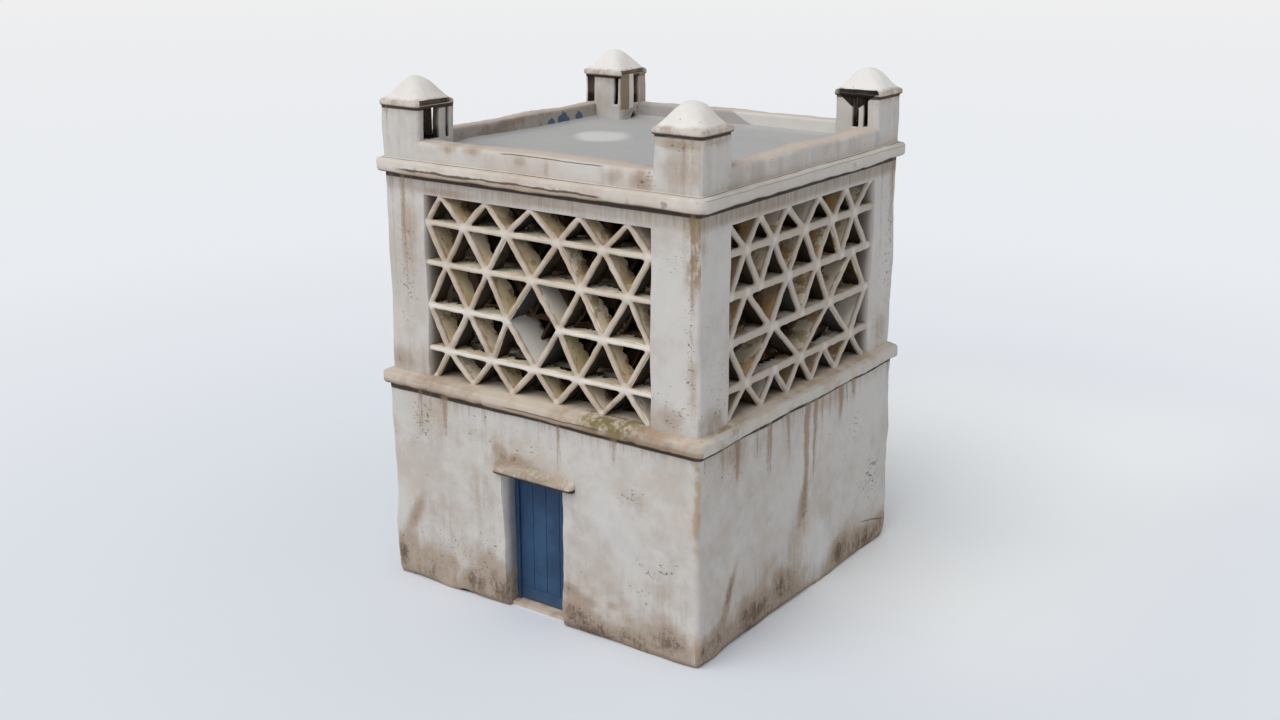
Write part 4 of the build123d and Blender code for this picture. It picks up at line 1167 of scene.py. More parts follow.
# %% Shader values
class Value:
    """An output socket of a material's nodes. Sums on it add Math nodes."""

    def __init__(self, tree, socket=None):
        self.tree, self.socket = tree, socket

    def node(self, kind, settings=None, sockets=None, output=0):
        """Add a node: its settings first, then the values or links of its input sockets."""
        made = self.tree.nodes.new("ShaderNode" + kind)
        for key, value in (settings or {}).items():
            if key == "stops":
                ramp = made.color_ramp
                while len(ramp.elements) < len(value):
                    ramp.elements.new(0.5)
                for element, (place, colour) in zip(ramp.elements, value):
                    element.position, element.color = place, (*colour, 1)
            else:
                setattr(made, key, value)
        for key, value in (sockets or {}).items():
            if isinstance(value, Value):
                self.tree.links.new(value.socket, made.inputs[key])
            elif value is not None:
                made.inputs[key].default_value = value
        return Value(self.tree, made.outputs[output])

    def sum(self, operation, *values):
        """A Math node of that operation on the values."""
        return self.node("Math", {"operation": operation}, dict(enumerate(values)))

    def __add__(self, other):
        return self.sum("ADD", self, other)

    def __radd__(self, other):
        return self.sum("ADD", other, self)

    def __sub__(self, other):
        return self.sum("SUBTRACT", self, other)

    def __rsub__(self, other):
        return self.sum("SUBTRACT", other, self)

    def __mul__(self, other):
        return self.sum("MULTIPLY", self, other)

    def __rmul__(self, other):
        return self.sum("MULTIPLY", other, self)

    def __truediv__(self, other):
        return self.sum("DIVIDE", self, other)

    def __gt__(self, other):
        return self.sum("GREATER_THAN", self, other)

    def __lt__(self, other):
        return self.sum("LESS_THAN", self, other)

    def __abs__(self):
        return self.sum("ABSOLUTE", self)

    def fade(self, low, high):
        """0 below low and 1 over high, or the other way round, with a soft step between."""
        ends = {0: self, 1: low, 2: high, 3: 0.0, 4: 1.0}
        return self.node("MapRange", {"interpolation_type": "SMOOTHSTEP"}, ends)

    def clamp(self):
        """The value, kept between 0 and 1."""
        return self.node("Clamp", None, {0: self})


def srgb(red, green, blue):
    """A screen colour from 0 to 255 as the light that a shader sums with."""
    shares = (red / 255, green / 255, blue / 255)
    return tuple(c / 12.92 if c <= 0.04045 else ((c + 0.055) / 1.055) ** 2.4 for c in shares)


class Finish(Value):
    """A material, with the signals that its pattern is made of and the colour laid on so far."""

    def __init__(self, name, roughness=0.9, specular=0.25):
        self.material = bpy.data.materials.new(name)
        self.material.use_nodes = True
        super().__init__(self.material.node_tree)
        self.shader = self.tree.nodes["Principled BSDF"]
        self.shader.inputs["Roughness"].default_value = roughness
        self.shader.inputs["Specular IOR Level"].default_value = specular
        self.place = self.node("TexCoord", None, None, "Object")
        split = self.node("SeparateXYZ", None, {0: self.place})
        self.x, self.y, self.z = (Value(self.tree, split.socket.node.outputs[i]) for i in range(3))
        self.colour = None

    def noise(self, scale, detail=3.0, roughness=0.55, stretch=(1, 1, 1), shift=(0, 0, 0)):
        """Clouds, about 0.3 to 0.7, scale of them to a metre, drawn out where stretch is under 1."""
        where = self.node("Mapping", None, {0: self.place, "Location": shift, "Scale": stretch})
        sizes = {"Scale": scale, "Detail": detail, "Roughness": roughness}
        return self.node("TexNoise", None, {"Vector": where, **sizes})

    def attribute(self, key):
        """A value that the piece keeps on its points, or 0 where it keeps none."""
        return self.node("Attribute", {"attribute_name": key}, None, "Fac")

    def mix(self, share, a, b):
        """Colour a where share is 0, and b where it is 1."""
        colours = {6: (*a, 1) if isinstance(a, tuple) else a, 7: (*b, 1) if isinstance(b, tuple) else b}
        return self.node("Mix", {"data_type": "RGBA"}, {0: share, **colours}, 2)

    def coat(self, share, red, green, blue):
        """Lay a screen colour over the colour so far, as thickly as share says."""
        self.colour = self.mix(share, self.colour, srgb(red, green, blue))

    def mend(self, height=None, depth=0.004):
        """Send the colour and a height, in shares of depth, to the shader. Gives the material."""
        self.tree.links.new(self.colour.socket, self.shader.inputs["Base Color"])
        if height is not None:
            bump = self.node("Bump", None, {"Height": height, "Distance": depth})
            self.tree.links.new(bump.socket, self.shader.inputs["Normal"])
        return self.material


# %% [markdown]
# ## Limewash
# Old limewash is white where rain doesn't reach and warm grey where dust has settled. Each kind of
# wear is a number on the points, as a soft oval. Here noise is added to that number and the sum is
# cut off between two levels: noise alone never reaches them, so a stain keeps its place and gets a
# ragged edge. Streaks use noise drawn out upwards, flakes use small clots of it.

# %% Limewash
def limewash(name, clean, dust, dusty=0.5, ledge=None, foot=0.0, hairs=0.0):
    """Limewash: clean and dust are its two tones. ledge is (level, length, strength, line) of the
    drips and of the dark line under a ledge, which is painted shade, foot the strength of the splash
    zone, hairs that of fine streaks all over."""
    brown, dark = srgb(164, 144, 125), srgb(102, 82, 66)
    f = Finish(name, 0.92, 0.2)
    cloud, fine, grit = f.noise(0.9, 4, 0.6), f.noise(7, 4, 0.6, shift=(3, 1, 2)), f.noise(70, 3, 0.6)
    mottle = f.noise(6.0, 5, 0.72, shift=(4, 4, 1))
    speck = f.noise(30, 5, 0.75, stretch=(1, 1, 0.6), shift=(2, 6, 1))
    hair = f.noise(1.0, 2, 0.6, stretch=(46, 46, 1.6), shift=(5, 2, 0))
    drip = f.noise(1.0, 3, 0.6, stretch=(14, 14, 0.6))
    f.colour = f.mix((cloud * 0.8 + fine * 0.35 - 0.08).fade(0.40, 0.66) * dusty, clean, dust)
    pink = f.noise(1.7, 3, 0.5, shift=(7, 3, 9)).fade(0.48, 0.66)
    f.coat(pink * 0.4 * dusty, 200, 184, 171)
    if hairs:
        f.coat((hair + drip - 0.5).fade(0.38, 0.72) * hairs, 166, 148, 132)
    if ledge:
        level, length, strength, line = ledge
        below = level - f.z
        faint = below.fade(length, 0.0) * 0.7 + (drip - 0.5) * 1.6 + (hair - 0.5) * 0.8
        faint = faint.fade(0.55, 1.1) * (below > -0.02)
        f.colour = f.mix(faint * strength, f.colour, brown)
        f.colour = f.mix(below.fade(0.12, 0.0) * (below > -0.02) * 0.35 * strength, f.colour, brown)
        # The near-black line right under the ledge is painted shade, with dirt.
        f.coat(below.fade(line, line - 0.014) * (below > -0.02) * 0.92, 52, 41, 34)
    stain = f.attribute("stain")
    if foot:
        splash = f.noise(1.6, 4, 0.62, stretch=(1, 1, 0.5), shift=(1, 4, 6))
        stain = stain + (f.z - (splash - 0.42) * 1.8).fade(0.52, -0.12) * foot
    wide = stain + (mottle - 0.5) * 0.9 + (drip - 0.5) * 0.6
    f.colour = f.mix(wide.fade(0.05, 0.95) * 0.8, f.colour, brown)
    deep = stain + (mottle - 0.5) * 2.2 + (speck - 0.5) * 2.2 + (drip - 0.5) * 1.4
    f.colour = f.mix(deep.fade(0.92, 2.05) * 0.82, f.colour, dark)
    run = f.attribute("streak") + (hair - 0.5) * 1.2 + (drip - 0.5) * 0.8 + (speck - 0.5) * 1.2
    f.coat(run.fade(0.30, 1.05) * 0.75, 150, 125, 104)
    clots = f.noise(36, 2, 0.5, stretch=(0.62, 0.62, 1.25), shift=(3, 0, 2))
    chips = (clots + f.attribute("flaked") * 0.15).fade(0.736, 0.772)
    f.coat(chips * 0.72, 104, 84, 70)
    f.height = fine * 0.5 + grit * 0.25 - chips * 0.8
    # Faces inside the walls, in the reveals and in the turrets' chambers are painted brown: painted shade.
    f.coat(f.attribute("inside").fade(0.2, 0.8) * 0.9, 92, 74, 60)
    # Mouldings' undersides, lower corners and the cornice's top groove are near black: dirt, with painted
    # shade.
    f.coat(f.attribute("grime").fade(0.30, 0.85) * 0.92, 54, 43, 36)
    if foot:
        rim = (f.z - (splash - 0.4) * 0.2).fade(0.05, 0.0)
        f.coat(rim * 0.5 * foot, 104, 86, 70)
    return f


WHITE, DUST = srgb(207, 204, 200), srgb(186, 175, 165)

f = limewash("limewash_ground", WHITE, DUST, 0.7, (wall_top - 0.004, 0.5, 0.65, 0.066), foot=0.72)
corner = abs(f.x - half_x + 0.02) + abs(f.y + half_y - 0.02)
corner = (corner + (f.noise(3, 3, shift=(5, 5, 0)) - 0.5) * 0.12).fade(0.075, 0.02)
rust = (
    (f.z.fade(2.5, 2.3) * f.z.fade(1.1, 1.6) + f.z.fade(0.55, 0.3))
    * f.noise(6, 3, shift=(2, 0, 1)).fade(0.35, 0.6)
)
f.coat((corner * rust * 0.7).clamp(), 178, 148, 110)
# The doorway's left reveal is painted bluish grey: painted shade.
jamb_shade = (
    abs(f.x - door_left).fade(0.045, 0.035) * (f.y + half_y).fade(0.04, 0.16) * (f.y < -half_y + 0.4)
    * (f.z < door_head)
)
jamb_shade = jamb_shade * f.z.fade(0.25, 0.7)
f.coat(jamb_shade * 0.5, 78, 98, 124)
fresh = (
    (f.y - 0.38) * (f.y - 0.38) * 7 + (f.z - 0.50) * (f.z - 0.50) * 4
    + (f.noise(4.5, 5, 0.7, stretch=(1, 1, 0.5), shift=(3, 8, 3)) - 0.5) * 3.0
)
f.coat(fresh.fade(1.3, -0.1) * (f.x > half_x - 0.08) * 0.55, 226, 226, 227)
split = f.z - 0.42 + (f.y - 1.58) * 0.25 + (f.noise(6, 3, 0.6, shift=(7, 7, 0)) - 0.5) * 0.07
split = abs(split).fade(0.013, 0.004) * f.y.fade(1.50, 1.64) * f.y.fade(2.20, 2.10) * (f.x > half_x - 0.08)
f.coat(split * 0.75, 88, 67, 54)
# A dark line on the wall just under the hood: painted shadow.
under = (
    f.z.fade(hood_low[2] - 0.035, hood_low[2] - 0.005) * (f.z < hood_low[2] + 0.02)
    * (f.y < -half_y + 0.03)
)
f.coat(under * (f.x > hood_low[0] + 0.02) * (f.x < hood_high[0] - 0.02) * 0.8, 58, 47, 40)
# A small dark hole at the foot of the door side, painted on with no hole in the geometry: painted shadow.
hole = (0.045 - f.z - (f.x + 1.12) * (f.x + 1.12) * 4).fade(-0.004, 0.004) * (f.y < -half_y + 0.1)
f.coat(hole * 0.9, 48, 38, 32)
ground_storey.data.materials.append(f.mend(f.height, 0.006))

f = limewash("limewash_loft", WHITE, DUST, 0.6, (cornice_level - 0.004, 0.35, 0.7, 0.060))
frieze = (
    f.z.fade(frieze_level - 0.02, frieze_level + 0.08)
    * f.z.fade(cornice_level - 0.050, cornice_level - 0.072)
)
hairs = f.noise(1.0, 4, 0.65, stretch=(34, 34, 1.6), shift=(8, 1, 0)).fade(0.30, 0.70)
f.coat(frieze * (0.24 + 0.20 * (abs(f.x) > upper_x - 0.03) + 0.30 * hairs), 146, 129, 112)
olive = (
    f.x.fade(1.93, 2.06) * (f.y < -upper_y + 0.03) * f.z.fade(4.05, 4.35) * (f.z < cornice_level - 0.05)
)
olive = olive * f.noise(9, 4, 0.65, stretch=(1, 1, 0.6), shift=(6, 6, 1)).fade(0.36, 0.56)
f.coat((olive * 0.8).clamp(), 140, 119, 84)
loft_frame.data.materials.append(f.mend(f.height))

f = limewash("limewash_string", srgb(202, 190, 176), srgb(170, 150, 131), 1.0)
f.coat(f.noise(3.2, 4, 0.65, shift=(9, 9, 2)).fade(0.50, 0.70) * 0.4, 156, 134, 112)
moss = (
    f.x.fade(0.55, 0.85) * f.x.fade(1.75, 1.2) * (f.y < -2.1) * 1.4
    + f.y.fade(-1.2, -1.7) * f.y.fade(-2.05, -1.85) * (f.x > 2.0)
)
f.coat((moss * f.noise(9, 4, 0.65).fade(0.38, 0.54) * 0.65).clamp(), 122, 110, 64)
gable = abs(f.x).fade(half_x + 0.01, half_x + 0.03) * abs(f.y).fade(half_y + 0.02, half_y)
# The lower half of the nose is browner, less so on the gable sides: painted shade.
f.coat((f.z - course_low[2]).fade(0.080, 0.030) * (0.6 - gable * 0.4), 140, 118, 96)
f.coat(gable * (0.9 - f.noise(4, 4, 0.65, shift=(1, 7, 7)).fade(0.45, 0.62) * 0.6), 202, 198, 191)
second = abs(f.z - course_low[2] - 0.052 + (f.noise(1.6, 2, shift=(2, 2, 2)) - 0.5) * 0.03)
second = second.fade(0.009, 0.004)
f.coat(second * f.x.fade(-0.45, -0.25) * f.x.fade(1.1, 0.9) * (f.y < -half_y) * 0.8, 92, 76, 60)
string_course.data.materials.append(f.mend(f.height))

f = limewash("limewash_cornice", srgb(214, 207, 199), srgb(191, 177, 164), 0.9)
spots = f.noise(5, 5, 0.7, shift=(1, 9, 2)).fade(0.56, 0.66)
spots = spots * abs(f.z - crown_low[2] - 0.05).fade(0.06, 0.02)
f.coat(spots * 0.6, 120, 100, 82)
# The lower part of the nose is browner: painted shade.
f.coat((f.z - crown_low[2]).fade(0.070, 0.020) * 0.3, 158, 140, 120)
gable = abs(f.x).fade(upper_x + 0.02, upper_x + 0.04) * abs(f.y).fade(upper_y + 0.04, upper_y)
f.coat(gable * 0.55, 204, 200, 194)
fillet = abs(f.z - crown_low[2] - 0.128 + (f.noise(2.2, 2, shift=(4, 4, 4)) - 0.5) * 0.02)
f.coat(fillet.fade(0.006, 0.002) * gable * 0.55, 112, 98, 88)
rim = crown_low[2] + 0.056 - f.z + (f.noise(2.2, 4, 0.6, shift=(6, 2, 2)) - 0.5) * 0.075
front = f.x.fade(-1.95, -1.70) * (f.x + (f.z - crown_low[2]) * 1.2).fade(1.10, 0.98) * (f.y < -upper_y)
f.coat(rim.fade(-0.004, 0.006) * front * 0.6, 168, 149, 128)
rim = abs(rim) + (f.noise(3.5, 3, 0.6, shift=(2, 7, 7)) - 0.5) * 0.03
f.coat(rim.fade(0.017, 0.006) * front * 0.85, 76, 61, 50)
cornice.data.materials.append(f.mend(f.height))

f = limewash("limewash_parapets", srgb(209, 204, 199), srgb(188, 177, 166), 0.7)
stripes = f.noise(1.0, 2, 0.5, stretch=(5, 5, 0.3), shift=(0, 2, 0)).fade(0.45, 0.62)
f.coat(stripes * (f.x > upper_x - 0.1) * 0.5, 172, 168, 166)
# The parapets' inner faces are painted a darker grey, which is painted shade. On the west side they are
# blotched brown with stain.
inner = f.attribute("inner")
# On the back parapet's inner face: painted light above the line, painted shadow below it.
sunlit_above_edge = (f.y > 1.8) * (f.z - f.attribute("shine")).fade(-0.012, 0.012)
shade_and_stain = f.mix(sunlit_above_edge, srgb(172, 169, 168), srgb(222, 219, 216))
west_side = f.x < -1.8
blotch = f.noise(3.5, 4, 0.65, shift=(2, 2, 6)).fade(0.46, 0.60)
shade_and_stain = f.mix(west_side, shade_and_stain, f.mix(blotch, srgb(168, 158, 152), srgb(142, 126, 114)))
f.colour = f.mix(inner * 0.85, f.colour, shade_and_stain)
blue = 0.0
for place, wide, tall in ((0.64, 0.075, 0.095), (0.89, 0.125, 0.150), (1.22, 0.085, 0.130)):
    gable = (
        roof_level + 0.025 + tall - abs(f.y - place) * 0.6
        + (f.noise(22, 2, shift=(1, 1, 8)) - 0.5) * 0.09 - f.z
    )
    blue = gable.fade(-0.004, 0.006) * abs(f.y - place).fade(wide, wide - 0.01) + blue
f.coat(blue * inner * (f.x < -1.8) * 0.85, 66, 92, 128)
pink_top = f.z.fade(parapet_level - 0.022, parapet_level - 0.002)
f.coat(pink_top * 0.7, 202, 186, 174)
crack = abs(f.z - parapet_level + 0.026 + (f.noise(2.4, 2) - 0.5) * 0.03).fade(0.007, 0.003)
crack = crack * f.x.fade(-0.45, -0.35) * f.x.fade(1.0, 0.9) * (f.y < -2.12)
f.coat(crack * 0.85, 84, 70, 60)
parapets.data.materials.append(f.mend(f.height))

f = limewash("limewash_turrets", WHITE, DUST, 0.6, (cap_level - 0.002, 0.16, 0.8, 0.03), hairs=0.12)
# Under the back right turret's cap, a near-black trapezoid where a hollow would lie in shadow: painted
# shadow, with no hollow in the geometry.
below = cap_level - f.z
gap = 0.215 - 1.3 * below - abs(f.x - upper_x + turret_half + 0.01)
hollow_shadow = (
    gap.fade(-0.006, 0.006) * (below < 0.13) * (f.x > 1.4) * (f.y > 1.4)
    * (f.y < upper_y - 2 * turret_half + 0.035)
)
f.coat(hollow_shadow * 0.98, 30, 20, 14)
inner_x, inner_y = 2 * turret_half - upper_x, upper_y - 2 * turret_half
# On the back left turret's face over the roof: a brown panel for a recess in shade, a pale strip for a lit
# post, and a browner part beyond. These are painted shade and painted light, with no recess or post in the
# geometry.
panel_light_and_shade = (
    (f.x > inner_x - 0.03) * (f.x < inner_x + 0.1)
    * f.z.fade(parapet_level - 0.075, parapet_level - 0.060) * (f.y > inner_y + 0.015)
)
f.coat(panel_light_and_shade * (f.y < inner_y + 0.19) * 0.92, 154, 137, 115)
f.coat(panel_light_and_shade * (f.y > inner_y + 0.19) * (f.y < inner_y + 0.285) * 0.9, 238, 234, 226)
f.coat(panel_light_and_shade * f.y.fade(inner_y + 0.40, inner_y + 0.44) * 0.6, 178, 160, 146)
# Low inside the turrets' chambers the walls are painted nearly black: painted shade.
chamber_shade = f.attribute("inside").fade(0.2, 0.8)
chamber_shade = chamber_shade * (f.z + (f.noise(9, 2) - 0.5) * 0.1).fade(parapet_level + 0.16, parapet_level + 0.08)
f.coat(chamber_shade * 0.9, 46, 34, 28)
turrets.data.materials.append(f.mend(f.height))

f = limewash("limewash_caps", srgb(236, 234, 231), srgb(221, 215, 208), 0.5)
# The lip is browner than the dome: dust, with painted shade.
lip = (f.z + (f.noise(6, 3) - 0.5) * 0.05).fade(lip_top + 0.035, lip_top - 0.005)
f.coat(lip * (0.45 + 0.4 * f.noise(8, 4, 0.6).fade(0.4, 0.6)), 172, 154, 138)
# Where a lip has broken away, the bare stone takes a different tone on each turret and is nearly black on
# the front left one: the stone's colour with painted shade.
bare = f.attribute("bare") * (f.z < lip_top + 0.005)
bare = bare * 0.85
rear = f.y > 1
stone = f.mix(rear, srgb(112, 92, 74), f.mix(f.x > 1, srgb(160, 142, 122), srgb(32, 21, 15)))
f.colour = f.mix(bare, f.colour, stone)
# A dark ring at the foot of the lip: painted shade.
f.coat(f.z.fade(cap_level + 0.026, cap_level + 0.008) * 0.92, 62, 49, 41)
turret_caps.data.materials.append(f.mend(f.height))

f = limewash("limewash_hood", srgb(178, 166, 151), srgb(154, 136, 119), 0.9, hairs=0.25)
f.coat(f.noise(7, 5, 0.7).fade(0.5, 0.68) * 0.55, 150, 128, 108)
# The underside of the roll is painted nearly black, which is painted shade. Its upper part is paler, which
# is painted light.
f.coat(f.z.fade(hood_low[2] + 0.048, hood_low[2] + 0.024) * 0.94, 46, 37, 31)
f.coat(f.z.fade(hood_low[2] + 0.075, hood_low[2] + 0.135) * 0.4, 192, 180, 166)
ends = (
    f.x.fade(hood_low[0] + 0.06, hood_low[0] + 0.01) + f.x.fade(hood_high[0] - 0.10, hood_high[0] - 0.02)
)
blotch = f.noise(16, 5, 0.72, shift=(4, 0, 4))
f.coat((ends * 0.7 + blotch.fade(0.50, 0.66) * 0.7).clamp() * (f.z > hood_low[2] + 0.04), 208, 199, 187)
upper = f.z - f.x * 0.10 + (blotch - 0.5) * 0.12
f.coat(upper.fade(hood_low[2] + 0.135, hood_low[2] + 0.175) * 0.5, 124, 104, 86)
hood.data.materials.append(f.mend(f.height))

# %% [markdown]
# ## Slates, roof and the rest
# A slate's upper face is pale with dust and old lime, in patches with crisp edges. It is painted
# darker with depth and in patches towards its upper end, and its underside and its faces deep in
# the wall are painted nearly black: all painted shade. Shader noise that is cut off sharply gives the
# patches, and the surface's own direction tells the two faces apart. The plaster on the front is
# warm, greyer on the gable sides, which is painted shade, browner towards the back of each bar,
# which is dirt with painted shade, and whitest in the stars.

# %% Slates
def slates(name, dim, tones):
    """Slate: tones are the steps of its colour, dim the depth in the wall where its painted shade starts.
    """
    black = srgb(20, 14, 10)
    f = Finish(name, 0.93, 0.2)
    depth, tone, lift = (f.attribute(key) for key in ("depth", "tone", "lift"))
    up = Value(f.tree, f.node("NewGeometry").socket.node.outputs["Normal"])
    up = Value(f.tree, f.node("SeparateXYZ", None, {0: up}).socket.node.outputs["Z"])
    patches, flakes = f.noise(5.5, 3, 0.6, shift=(2, 1, 7)), f.noise(3.1, 2, 0.5, shift=(8, 1, 5))
    f.colour = f.node("ValToRGB", {"stops": tones}, {0: tone})
    gable = (abs(f.x) > upper_x - 0.5) * (tone < 0.87)
    dusky, pale = gable * tone.fade(0.26, 0.14), gable * tone.fade(0.60, 0.68)
    f.coat(dusky * 0.6, 150, 108, 70)
    f.coat(pale * 0.7, 252, 246, 234)
    old = (tone < 0.95) * (1 - pale * 0.8)
    dusty = old * (patches + flakes).fade(1.04, 1.08) * (0.35 + 0.45 * (abs(f.x) > upper_x - 0.5))
    f.coat(dusty, 206, 164, 108)
    f.coat(old * flakes.fade(0.35, 0.33) * 0.3, 180, 172, 134)
    # Brown patches towards the upper end of each slate: painted shadow patches.
    brown = old * (patches * 1.3 - flakes * 0.5).fade(0.44, 0.50) * (lift > 0.25)
    f.coat(brown * (0.5 - 0.3 * (lift > 0.9)), 158, 126, 96)
    # Darker with depth, in two steps and then black: painted shade.
    deep = (
        (depth - dim) * 5.0 + (patches - 0.5) * 2.2 + lift * (1 - lift) * 1.4 - (tone > 0.95) * 0.9
        - pale * 0.5 + dusky * 0.25
    )
    f.coat(deep.fade(0.30, 0.36) * 0.7, 144, 118, 92)
    f.coat(deep.fade(0.62, 0.72) * 0.75, 92, 66, 46)
    f.colour = f.mix(deep.fade(1.05, 1.2) * 0.92, f.colour, black)
    # Faces turned down, and deep faces turned sideways, are painted black: painted shade.
    f.colour = f.mix(up.fade(0.06, -0.12) * depth.fade(0.056, 0.085) * 0.93, f.colour, black)
    f.colour = f.mix(abs(up).fade(0.28, 0.12) * depth.fade(0.30, 0.36) * 0.8, f.colour, black)
    return f.mend(f.noise(14, 4, 0.6) * 0.6 + f.noise(90, 2, 0.6) * 0.25)


front_slates = slates("lattice_slates", 0.28, [
    (0.0, srgb(220, 206, 168)), (0.22, srgb(238, 218, 184)), (0.45, srgb(246, 232, 208)),
    (0.7, srgb(252, 240, 216)), (0.9, srgb(248, 241, 228)), (1.0, srgb(238, 233, 226)),
])
# The nests get the slates' painted shade with depth and facing, on darker tones.
nest_stone = slates("nest_slates", 0.33, [
    (0.0, srgb(112, 84, 60)), (0.6, srgb(150, 124, 98)), (0.66, srgb(190, 178, 162)),
    (1.0, srgb(222, 217, 206)),
])

f = Finish("limed_bars", 0.9, 0.22)
star, depth = f.attribute("star"), f.attribute("depth")
cloud = f.noise(4.0, 4, 0.6)
f.colour = f.mix(cloud.fade(0.36, 0.64), srgb(207, 194, 181), srgb(187, 170, 154))
f.coat(f.noise(1.6, 2, 0.5, shift=(4, 4, 4)).fade(0.52, 0.62) * 0.4, 188, 174, 144)
# The bars on the gable sides are painted greyer: painted shade.
gable_bar_shade = abs(f.x).fade(upper_x - 0.3, upper_x - 0.2) * abs(f.y).fade(pier_edge_y + 0.1, pier_edge_y)
f.coat(gable_bar_shade * 0.75, 189, 180, 170)
f.coat(f.attribute("level") * (1 - gable_bar_shade) * 0.55, 224, 216, 204)
lowest = f.attribute("level") * f.z.fade(row_foot[2] + 0.12, row_foot[2] + 0.05)
f.coat(lowest * (1 - gable_bar_shade) * 0.6, 240, 236, 230)
f.coat(star.fade(0.2, 1.0) * 0.6, 224, 217, 208)
# Browner towards the back of each bar: dirt, with painted shade.
back_dirt_and_shade = (depth + (cloud - 0.5) * 0.06).fade(0.048, 0.078)
f.coat(back_dirt_and_shade * 0.45, 150, 130, 108)
bar_plaster = f.mend(f.noise(30, 4, 0.6), 0.003)
for piece in bpy.data.objects:
    for start, material in (("lattice_slates", front_slates), ("nest_slates", nest_stone),
            ("lattice_plaster", bar_plaster)):
        if piece.name.startswith(start):
            piece.data.materials.append(material)

f = Finish("beaten_lime", 0.9, 0.2)
centred = {0: f.place, "Location": (0.93 * 2.3, -0.36 * 1.8, -5.16), "Scale": (2.3, 1.8, 1)}
around = f.node("Mapping", None, centred)
patch = f.node("VectorMath", {"operation": "LENGTH"}, {0: around}, "Value")
patch = (patch + (f.noise(1.3, 1, 0.4, shift=(3, 0, 0)) - 0.5) * 1.3).fade(1.05, 0.5)
cloud = (f.noise(1.2, 4, 0.6).fade(0.35, 0.65) * 0.6).clamp()
f.colour = f.mix(cloud, srgb(176, 177, 178), srgb(184, 183, 180))
f.coat(patch * 0.85, 217, 216, 214)
roof_deck.data.materials.append(f.mend(f.noise(9, 4, 0.6)))

# %% [markdown]
# ## Door, ironwork, timber and stone floors
# The plank door is painted a deep blue that has faded in patches. The hinges are dark iron, the
# beams hewn wood, and the floors worn flags.

# %% Finishes of the construction nodes
def dress(material, *nodes):
    """Give construction nodes a finish."""
    for node in nodes:
        frame["nodes"][node].data.materials.clear()
        frame["nodes"][node].data.materials.append(material)


f = Finish("blue_paint", 0.62, 0.35)
grain = f.noise(1.0, 4, 0.6, stretch=(70, 70, 2.2))
worn = f.noise(2.4, 4, 0.6, shift=(1, 1, 1))
f.colour = f.mix((worn.fade(0.36, 0.66) * 0.8).clamp(), srgb(41, 68, 100), srgb(54, 87, 122))
f.coat((grain.fade(0.5, 0.75) * 0.35).clamp(), 34, 54, 80)
f.coat(f.z.fade(0.22, 0.05) * 0.2, 96, 106, 120)
blue_paint = f.mend(grain, 0.002)
dress(blue_paint, "door_leaf", "door_frame")

f = Finish("dark_iron", 0.6, 0.4)
rusty = f.noise(30, 4, 0.6).fade(0.45, 0.65)
f.shader.inputs["Metallic"].default_value = 0.4
f.colour = f.mix(rusty, srgb(44, 40, 38), srgb(92, 62, 44))
dress(f.mend(f.noise(60, 3, 0.6), 0.001), "door_hinges", "door_pintles")

f = Finish("hewn_timber", 0.85, 0.2)
grain = f.noise(1.0, 5, 0.6, stretch=(2.5, 38, 38))
f.colour = f.mix(grain.fade(0.35, 0.65), srgb(78, 62, 46), srgb(126, 106, 82))
dress(f.mend(grain, 0.003), "loft_beams", "roof_beams")

f = Finish("worn_flags", 0.85, 0.25)
blot = f.noise(3, 5, 0.6)
f.colour = f.mix(blot.fade(0.35, 0.65), srgb(150, 136, 122), srgb(122, 108, 96))
joints = f.node("TexBrick", None, {"Vector": f.place, "Scale": 1.6, "Mortar Size": 0.012}, "Fac")
f.coat(joints * 0.7, 84, 74, 64)
dress(f.mend(f.noise(25, 4, 0.6) - joints, 0.003), "ground_floor", "loft_floor")

f = Finish("sill_stone", 0.85, 0.25)
f.colour = f.mix(f.noise(6, 4, 0.6).fade(0.35, 0.65), srgb(208, 190, 174), srgb(184, 166, 150))
dress(f.mend(f.noise(25, 4, 0.6)), "door_sill")

f = Finish("roof_fill", 0.9, 0.2)
f.colour = f.mix(f.noise(4, 4, 0.6).fade(0.35, 0.65), srgb(150, 146, 140), srgb(122, 112, 102))
dress(f.mend(f.noise(20, 4, 0.6)), "roof_slab")

# %% [markdown]
# ## Floor and light
# The building stands on a pale studio floor that grows lighter with distance. It is painted paler
# still behind the building and to its right, where its shadow falls: painted light that weakens the
# building's shadow there. One broad, high lamp to the left of the door lights the door side more
# than the gable, and an even pale sky does the rest. The sky that the camera sees is its own
# colour, which lights nothing.

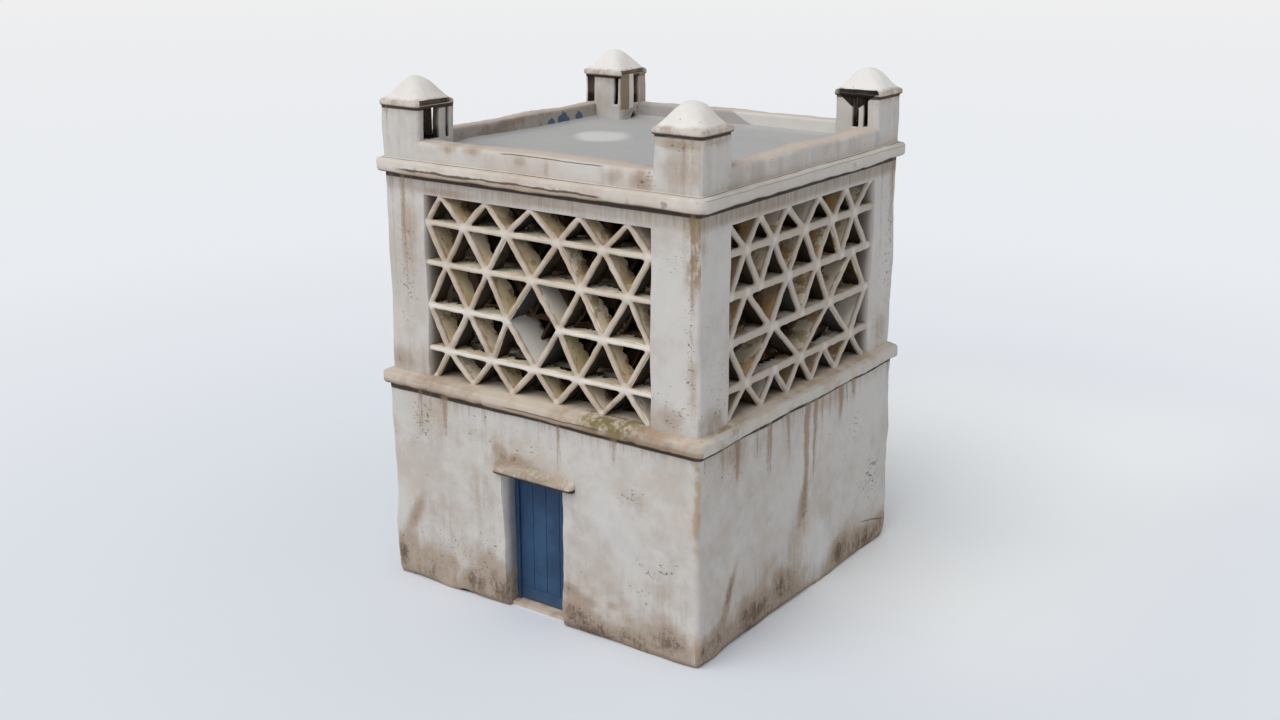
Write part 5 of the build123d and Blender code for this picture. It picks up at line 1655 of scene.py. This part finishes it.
# %% Floor and light
size = 400.0
floor_mesh = bpy.data.meshes.new("studio_floor")
corners = [(x * size, y * size, -0.002) for x, y in ((-1, -1), (1, -1), (1, 1), (-1, 1))]
floor_mesh.from_pydata(corners, [], [(0, 1, 2, 3)])
floor = bpy.data.objects.new("studio_floor", floor_mesh)
scene.collection.objects.link(floor)
f = Finish("studio_floor", 1.0, 0.0)
reach = f.node("VectorMath", {"operation": "LENGTH"}, {0: f.place}, "Value")
paler = [
    (0.0, srgb(220, 225, 235)), (0.06, srgb(232, 237, 245)), (0.1, srgb(239, 243, 250)),
    (0.18, srgb(247, 250, 255)), (1.0, srgb(254, 254, 255)),
]
ramp = f.node("ValToRGB", {"stops": paler}, {0: (reach / 110.0).clamp()})
# Behind the building and to its right the floor is painted lighter: painted light that weakens the shadow.
painted_light_beside = f.x.fade(-2.5, 0.5) * f.x.fade(6.8, 3.6) * f.y.fade(-2.2, 1.2) * f.y.fade(11.5, 7.0)
f.colour = f.mix(painted_light_beside, ramp, srgb(249, 252, 255))
floor.data.materials.append(f.mend())

sky = bpy.data.worlds.new("studio_sky")
scene.world = sky
sky.use_nodes = True
nodes, links = sky.node_tree.nodes, sky.node_tree.links
shown, lit = nodes["Background"], nodes.new("ShaderNodeBackground")
shown.inputs["Color"].default_value = (*srgb(237, 239, 243), 1)
lit.inputs["Color"].default_value = (0.96, 0.98, 1.0, 1)
lit.inputs["Strength"].default_value = 0.405
choose, path = nodes.new("ShaderNodeMixShader"), nodes.new("ShaderNodeLightPath")
links.new(path.outputs["Is Camera Ray"], choose.inputs[0])
links.new(lit.outputs[0], choose.inputs[1])
links.new(shown.outputs[0], choose.inputs[2])
links.new(choose.outputs[0], nodes["World Output"].inputs[0])

lamp = bpy.data.objects.new("soft_sun", bpy.data.lights.new("soft_sun", "SUN"))
lamp.data.energy = 1.85
lamp.data.angle = math.radians(60)
lamp.data.color = (1.0, 0.985, 0.96)
lamp.rotation_euler = (math.radians(35), 0, math.radians(-8))
scene.collection.objects.link(lamp)
